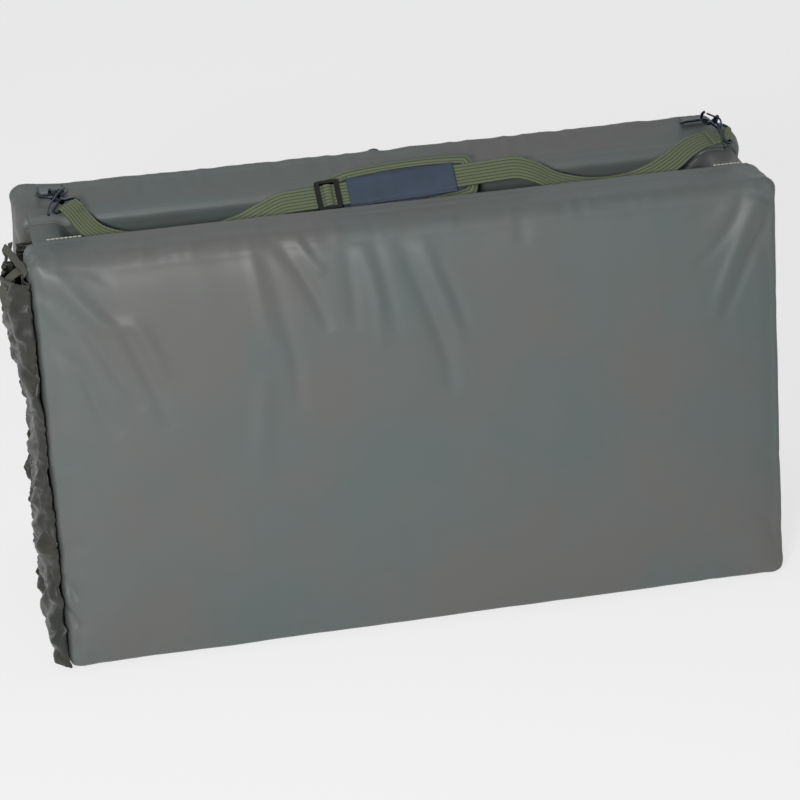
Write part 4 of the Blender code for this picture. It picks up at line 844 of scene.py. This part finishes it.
def wrapBar(centre, bar, leave):
    normal = bar.cross(leave).normalized()
    normal = -normal if normal.z < 0 else normal
    return halfTurn(centre, -normal, -leave, strap["wrapRadius"])


def smoothKeys(keys, before=None, after=None):  # the extra keys only steer the ends
    steps = 8
    full = ([before] if before else []) + keys + ([after] if after else [])
    first, last = steps if before else 0, -steps if after else None
    return tuple(smoothLine([key[which] for key in full], steps)[first:last] for which in (0, 1))


def layerAt(centres, widths, distance):
    return [centre + directionAt(centres, index).cross(widths[index]).normalized() * distance
            for index, centre in enumerate(centres)]


def straightFrame(fromStart):
    along = (straightEnd - straightStart).normalized()
    across = (straightWidth - along * straightWidth.dot(along)).normalized()
    basis = Matrix((along, across, along.cross(across))).transposed().to_4x4()
    return Matrix.Translation(straightStart + along * fromStart) @ basis


def buildStrap():
    leftRows = routeKeys(-1, straightStart.x, leftEndRows, leftRunRows)
    rightRows = routeKeys(1, straightEnd.x, rightEndRows, rightRunRows)[::-1]
    leaves = []
    for (centre, bar), first in ((leftEye, leftRows[0][0]), (rightEye, rightRows[-1][0])):
        towards = first - centre
        leaves.append((towards - bar * bar.dot(towards)).normalized())
    leftWrap, rightWrap = wrapBar(*leftEye, leaves[0]), wrapBar(*rightEye, leaves[1])
    leftKeys = [(leftWrap[-1], leftEye[1]), (leftWrap[-1] + leaves[0] * 0.010, leftEye[1])] + leftRows
    leftKeys.append((straightStart, straightWidth))
    rightKeys = [(straightEnd, straightWidth)] + rightRows
    rightKeys += [(rightWrap[0] + leaves[1] * 0.010, rightEye[1]), (rightWrap[0], rightEye[1])]
    ahead = (straightEnd - straightStart).normalized() * strap["steerBy"]
    leftCentres, leftWidths = smoothKeys(leftKeys, after=(straightStart + ahead, straightWidth))
    rightCentres, rightWidths = smoothKeys(rightKeys, before=(straightEnd - ahead, straightWidth))
    steps = 40
    straight = [straightStart.lerp(straightEnd, i / steps) for i in range(1, steps)]
    centres = leftWrap[:-1] + leftCentres + straight + rightCentres + rightWrap[1:]
    widths = [leftEye[1]] * (len(leftWrap) - 1) + leftWidths + [straightWidth] * len(straight)
    widths += rightWidths + [rightEye[1]] * (len(rightWrap) - 1)
    folded = layerAt(rightCentres, rightWidths, strap["thickness"] + strap["layerGap"])
    for index in range(len(folded) - 1, 0, -1):
        if 0.011 < (folded[index] - rightEye[0]).length < strap["foldBack"]:
            centres.append(folded[index])
            widths.append(rightWidths[index])
    obj = buildBand("strapWebbing", centres, widths, strap["width"], strap["thickness"], webbingCloth,
                    webbing["ribs"])
    standFor(obj, "strap_webbing", "strap")
    buildTail(leftWrap[0], leftCentres, leftWidths)


tail = {"blendTo": 10, "eyeGap": 0.0015, "barWidth": 0.0026, "clear": 0.0004, "end": 0.0052, "steps": 10}


def buildTail(start, leftCentres, leftWidths):  # second layer, from the left eye to the slider's middle bar
    under = layerAt(leftCentres, leftWidths, -(strap["thickness"] + strap["layerGap"]))
    blendTo, steps, half = tail["blendTo"], tail["steps"], tail["barWidth"] / 2
    first = start + (under[blendTo] - start).normalized() * tail["eyeGap"]
    places = [first]
    for index in range(1, blendTo):
        places.append(first.lerp(under[blendTo], index / blendTo).lerp(under[index], index / blendTo))
    places += under[blendTo:]
    widths = list(leftWidths)
    slider = straightFrame(strap["sliderFromStart"])
    along, across, normal = (slider.to_3x3() @ Vector(axis) for axis in ((1, 0, 0), (0, 1, 0), (0, 0, 1)))
    level = -(strap["thickness"] * 1.5 + strap["layerGap"] + tail["clear"] + half)
    bar = slider @ Vector((0, 0, level))
    radius = half + tail["clear"] + strap["thickness"] / 2
    goal = bar + along * half + normal * radius
    places += [places[-1].lerp(goal, i / steps) for i in range(1, steps)]
    places += halfTurn(bar + along * half, normal, along, radius)
    places.append(bar - along * tail["end"] - normal * radius)
    widths += [across] * (len(places) - len(widths))
    obj = buildBand("strapTail", places, widths, strap["width"], strap["thickness"], webbingCloth,
                    webbing["ribs"])
    standFor(obj, "strap_tail", "strap")


buildStrap()
print("strap made")


# ring tabs: cover cloth folded round each D-ring's bar and sewn to the rear panel's top

ringTab = {"width": 0.0305, "thickness": 0.0013, "length": 0.015, "wrapRadius": 0.00285}
ringBar = Vector((0, 0.0805, 0.51073))
along, up = Vector((0, cos(lean), sin(lean))), Vector((0, -sin(lean), cos(lean)))  # of its top


def buildRingTab(tag, sign):
    centre = ringBar + Vector((sign * strap["ringOffset"], 0, 0))
    radius = ringTab["wrapRadius"]
    low = centre - up * radius
    line = [low + along * ringTab["length"] * share for share in (1.0, 0.66, 0.33)]
    line += halfTurn(centre, -up, -along, radius)
    settled = low + up * 0.0017  # the upper layer lies down on the lower one behind the bar
    line += smoothLine([centre + up * radius + along * 0.0005, settled + along * 0.0095 + up * 0.0004,
                        settled + along * 0.0120, settled + along * ringTab["length"]], 4)[1:]
    obj = buildBand(tag + "RingTab", line, [Vector((1, 0, 0))] * len(line), ringTab["width"],
                    ringTab["thickness"], coatedPolyester)
    standFor(obj, tag + "_ring_tab", "rear_panel")


cornerLoop = {"reach": 0.0165, "rightShare": 0.12, "drop": 0.0720, "raise": 0.008, "width": 0.0112,
              "thickness": 0.0015, "clear": 0.0011, "twistBy": 0.008}
# shares of the reach out and of the drop, from the upper sewn end to the lower one
loopShares = ((0.00, 0.26), (0.00, 0.36), (0.60, 0.40), (1.35, 0.54), (1.70, 0.74), (1.35, 0.94),
              (0.55, 1.04), (0.00, 1.12), (0.00, 1.22))


def buildCornerLoop(tag, sign):  # hem band sewn to the front panel's end, standing out as a loop
    start = cover["length"] / 2 + cornerLoop["clear"]
    reach = cornerLoop["reach"] * (1 if sign < 0 else cornerLoop["rightShare"])  # the right one lies flat
    points = []
    for out, drop in loopShares:
        top = cover["height"] + (cornerLoop["raise"] if drop < 0.9 else 0)
        points.append(Vector((sign * (start + out * reach), -cover["thickness"] * 0.60,
                              top - drop * cornerLoop["drop"])))
    line = smoothLine(points[:2], 3)[:-1] + smoothLine(points[1:-1], 8) + smoothLine(points[-2:], 3)[1:]
    widths = []
    for index, point in enumerate(line):
        free = min(abs(point.x) - start, cornerLoop["twistBy"]) / cornerLoop["twistBy"] * 0.95
        flat = Vector((0, 1, 0))
        widths.append((flat + directionAt(line, index).cross(flat) * free * sign).normalized())
    obj = buildBand(tag + "CornerLoop", line, widths, cornerLoop["width"],
                    cornerLoop["thickness"], hemElastic, place=panelFrames["front"])
    standFor(obj, tag + "_corner_loop", "front_panel")


for build in (buildRingTab, buildCornerLoop):
    build("left", -1)
    build("right", 1)


# hanging tab: a short loop of cloth sewn to the rear panel's back, which just shows above the rim
hangingTab = {"width": 0.022, "height": 0.034, "thickness": 0.0028, "above": -0.0066, "round": 0.0006,
              "corner": 0.001, "standOff": 0.0019723}


def buildHangingTab():
    half = hangingTab["width"] / 2
    middle = cover["height"] + hangingTab["above"] - half
    outline = [(half * cos(pi * i / 20), middle + half * sin(pi * i / 20)) for i in range(21)]
    low = middle - hangingTab["height"] + half
    corner, rounding, thickness = hangingTab["corner"], hangingTab["round"], hangingTab["thickness"]
    outline += [(-half, low + corner), (-half + corner, low), (half - corner, low), (half, low + corner)]
    start = -(cover["thickness"] + hangingTab["standOff"])
    rings = []
    for inset, depth in ((rounding, 0), (0, rounding), (0, thickness - rounding), (rounding, thickness)):
        share = 1 - inset / half
        rings.append([Vector((x * share, start - depth, middle + (z - middle) * share)) for x, z in outline])
    obj = makeMesh("rearHangingTab", *loft(rings), padCloth, panelFrames["rear"])
    standFor(obj, "rear_hanging_tab", "rear_panel")


buildHangingTab()
print("tabs and loops made")


# shoulder pad: foam core, bound edge and a face patch that the webbing runs under

pad = {"length": 0.193, "width": 0.066, "endWidth": 0.053, "edge": 0.0080, "binding": 0.0115,
       "shift": -0.0105, "patchFrom": -0.0735, "patchTo": 0.0585, "cloth": 0.0012, "bend": 0.0056,
       "bendFrom": (0.070, 0.092), "fill": 0.8}
padFrame = straightFrame(straightLength - strap["padTravel"] - strap["padSolid"] / 2)
padTop = -(strap["thickness"] / 2 + strap["layerGap"])


def padHalfWidth(share):
    return pad["endWidth"] / 2 + (pad["width"] - pad["endWidth"]) / 2 * (1 - abs(share) ** 2.4)


def padPlace(x, y, z):  # the left end bends down, to pass behind the slider
    return Vector((x, y, z - pad["bend"] * float(easeStep(*pad["bendFrom"], -x))))


def padOutline(inset):
    half = pad["length"] / 2 - inset
    upper = []
    for step in range(49):
        share = -0.93 + 1.86 * step / 48
        upper.append((share * half, padHalfWidth(share) - inset))
    right = []
    for step in range(1, 12):
        share = 1 - step / 12
        right.append((half * (1 - share ** 3 * 0.07), upper[-1][1] * share))
    ends = right + [(half, 0.0)] + [(x, -y) for x, y in reversed(right)]
    line = upper + ends + [(x, -y) for x, y in reversed(upper)] + [(-x, -y) for x, y in ends]
    return [(x + pad["shift"], y) for x, y in line]


def padRings(rows):  # rows of inset and height
    return [[padPlace(x, y, z) for x, y in padOutline(inset)] for inset, z in rows]


def buildPad():
    top, low, rim, cloth = padTop, padTop - pad["edge"], pad["binding"], pad["cloth"]
    profile = padRings(((rim, top), (0.0030, top), (0.0008, top - 0.0008), (0, top - 0.0026),
                        (0, low + 0.0026), (0.0008, low + 0.0008), (0.0030, low), (rim, low),
                        (rim, low + cloth), (cloth, low + cloth), (cloth, top - cloth), (rim, top - cloth)))
    binding = makeMesh("padBinding", *loft(profile, closed=True), webbingCloth, padFrame)
    marks, count = (0, 0.30, 0.36, 0.42, 0.55, 0.61, 0.67, 0.95, 0.95, 0.60, 0.40, 0), len(profile[0])
    markRoute(binding.data, lambda index: (marks[index // count], binding.data.vertices[index].co.x))
    core = padRings(((0.024, low - 0.0012), (0.014, low - 0.0009), (0.0075, low + 0.0003),
                     (0.0074, low + 0.0016), (0.0017, low + 0.0017), (0.0017, top - 0.0017),
                     (0.0074, top - 0.0016), (0.0075, top - 0.0001), (0.010, top)))
    body = makeMesh("padCore", *loft(core), padCloth, padFrame)
    rings = []
    start, end = pad["patchFrom"], pad["patchTo"]
    sleeve = strap["width"] / 2 + 0.0010
    for station in range(61):
        x = start + (end - start) * station / 60
        half = sleeve + 0.0036
        ripple = 0.00035 * noiseAt(x / 0.012, 3.0, 0.0)
        high = strap["thickness"] / 2 + strap["layerGap"] + cloth + ripple
        base = top + 0.0003
        over = [(half, base), (half, base + 0.0008), (half - 0.0006, base + 0.0012),
                (sleeve + 0.0026, base + 0.0012), (sleeve + 0.0012, base + 0.0020),
                (sleeve + 0.0002, high - 0.0004), (sleeve - 0.0014, high)]
        over += [(sleeve * share, high + 0.0006 * (1 - share * share)) for share in (0.7, 0.35)]
        under = [(sleeve, high - cloth - ripple), (sleeve + 0.0006, base)]
        section = over + [(0, high + 0.0006)] + [(-y, z) for y, z in reversed(over)]
        section += [(-y, z) for y, z in reversed(under)] + under
        rings.append([Vector((x, y, z)) for y, z in section])
    patch = makeMesh("padFacePatch", *loft(rings), padCloth, padFrame)
    standFor(binding, "pad_binding", "pad")
    standFor(body, "pad_core", "pad")
    standFor(patch, "pad_face_patch", "pad")
    seams = [[padFrame @ Vector((x, side * (sleeve + 0.0032), padTop + 0.0017))
              for x in np.linspace(start + 0.003, end - 0.003, 12)] for side in (1, -1)]
    buildStitches("padStitches", seams, padStitch, padCloth, "pad")


buildPad()
print("pad made")


sliderHump = {"width": 0.0288, "thickness": 0.0013, "line": (  # in mm from the bar
    (-5.4, -0.5), (-5.0, 1.6), (-3.0, 3.0), (0, 3.5), (3.0, 3.0), (5.0, 1.6), (5.4, -0.5))}


def buildSliderHump():  # the second layer rises over the slider's middle bar, between its two side bars
    place = straightFrame(strap["sliderFromStart"])
    line = smoothLine([Vector((x / 1000, 0, z / 1000)) for x, z in sliderHump["line"]], 5)
    hump = buildBand("sliderHump", line, [Vector((0, 1, 0))] * len(line), sliderHump["width"],
                     sliderHump["thickness"], webbingCloth, webbing["ribs"], place)
    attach(hump, "slider")


buildSliderHump()


# rigid hardware keeps its CAD shape and takes its finish

sliderLook = {"weld": 0.00002, "fuller": 0.0006, "round": 0.0005}
for node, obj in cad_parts.items():
    if any(word in node for word in ("d_ring", "hook_eye", "hook_body", "hook_gate", "gate_pin")):
        finishWith(obj, blackNickel)
    if node == "strap_slider":
        finishWith(obj, mouldedAcetal)
        obj.modifiers.new("joined", "WELD").merge_threshold = sliderLook["weld"]
        fuller = obj.modifiers.new("fuller", "DISPLACE")
        fuller.strength, fuller.mid_level = sliderLook["fuller"], 0
        rounding = obj.modifiers.new("rounding", "BEVEL")
        rounding.width, rounding.segments = sliderLook["round"], 2
        rounding.limit_method, rounding.angle_limit = "ANGLE", radians(40)
print("hardware finished")


# floor, light and camera

floor = {"reach": 14, "glow": 0.72}
sky = {"low": 0.20, "high": 0.74}


def seenStraight(tree):  # 1 for the camera, and for what glossy or clear surfaces show of it
    path = addNode(tree, "ShaderNodeLightPath").outputs
    seen = addNode(tree, "ShaderNodeMath", {}, {0: path["Is Camera Ray"], 1: path["Is Glossy Ray"]},
                   operation="MAXIMUM")
    return addNode(tree, "ShaderNodeMath", {}, {0: seen.outputs[0], 1: path["Is Transmission Ray"]},
                   operation="MAXIMUM").outputs[0]


def buildFloor():
    made, tree, shader = startMaterial("paleFloor", 0.8)
    shader.inputs["Base Color"].default_value = linear("#fafafa")
    glow = addNode(tree, "ShaderNodeEmission", {"Color": linear("#ffffff"), "Strength": 1.0})
    share = addNode(tree, "ShaderNodeMath", {1: floor["glow"]}, {0: seenStraight(tree)}, operation="MULTIPLY")
    mixed = addNode(tree, "ShaderNodeMixShader", {},
                    {0: share.outputs[0], 1: shader.outputs[0], 2: glow.outputs[0]})
    tree.links.new(mixed.outputs[0], tree.nodes["Material Output"].inputs["Surface"])
    corners = [(x * floor["reach"], y * floor["reach"], 0) for x, y in ((-1, -1), (1, -1), (1, 1), (-1, 1))]
    makeMesh("paleFloor", corners, [(0, 1, 2, 3)], made)


def buildWorld():  # dim to the surfaces, pale to the camera and in reflections
    world = bpy.data.worlds.new("studio")
    scene.world = world
    world.use_nodes = True
    tree = world.node_tree
    level = addNode(tree, "ShaderNodeMapRange", {"To Min": sky["low"], "To Max": sky["high"]},
                    {"Value": seenStraight(tree)})
    shown = tree.nodes["Background"]
    shown.inputs["Color"].default_value = linear("#eef0f2")
    tree.links.new(level.outputs[0], shown.inputs["Strength"])


def addLight(name, place, aim, size, power):
    data = bpy.data.lights.new(name, "AREA")
    data.shape = "RECTANGLE"
    data.size, data.size_y = size
    data.energy = power
    obj = addObject(name, data)
    obj.location = place
    obj.rotation_euler = (Vector(aim) - Vector(place)).to_track_quat("-Z", "Y").to_euler()


photoCamera = {"turn": -10.69, "lift": 28.31, "roll": 1.9, "lens": 131.27, "aim": (0.002, 0, 0.212),
               "away": 3.657}  # fitted to the panels' corners in the photograph


def buildCamera():
    turn, lift, roll = (radians(photoCamera[key]) for key in ("turn", "lift", "roll"))
    back = Vector((sin(turn) * cos(lift), -cos(turn) * cos(lift), sin(lift)))
    data = bpy.data.cameras.new("photoCamera")
    data.lens, data.sensor_width = photoCamera["lens"], 36
    obj = addObject("photoCamera", data)
    obj.location = Vector(photoCamera["aim"]) + back * photoCamera["away"]
    facing = (-back).to_track_quat("-Z", "Y").to_matrix()
    obj.rotation_euler = (facing @ Matrix.Rotation(-roll, 3, "Z")).to_euler()
    scene.camera = obj


buildFloor()
addLight("keyLight", (-1.15, -2.9, 1.75), (-0.05, 0, 0.25), (0.6, 0.5), 63)
addLight("fillLight", (2.2, -2.4, 2.0), (0, 0, 0.2), (1.6, 1.6), 2.5)
addLight("overheadLight", (-0.6, 0.5, 3.0), (0, 0, 0), (2.6, 2.0), 9)
buildWorld()
scene.view_settings.view_transform = "Standard"
buildCamera()
print("stage made")
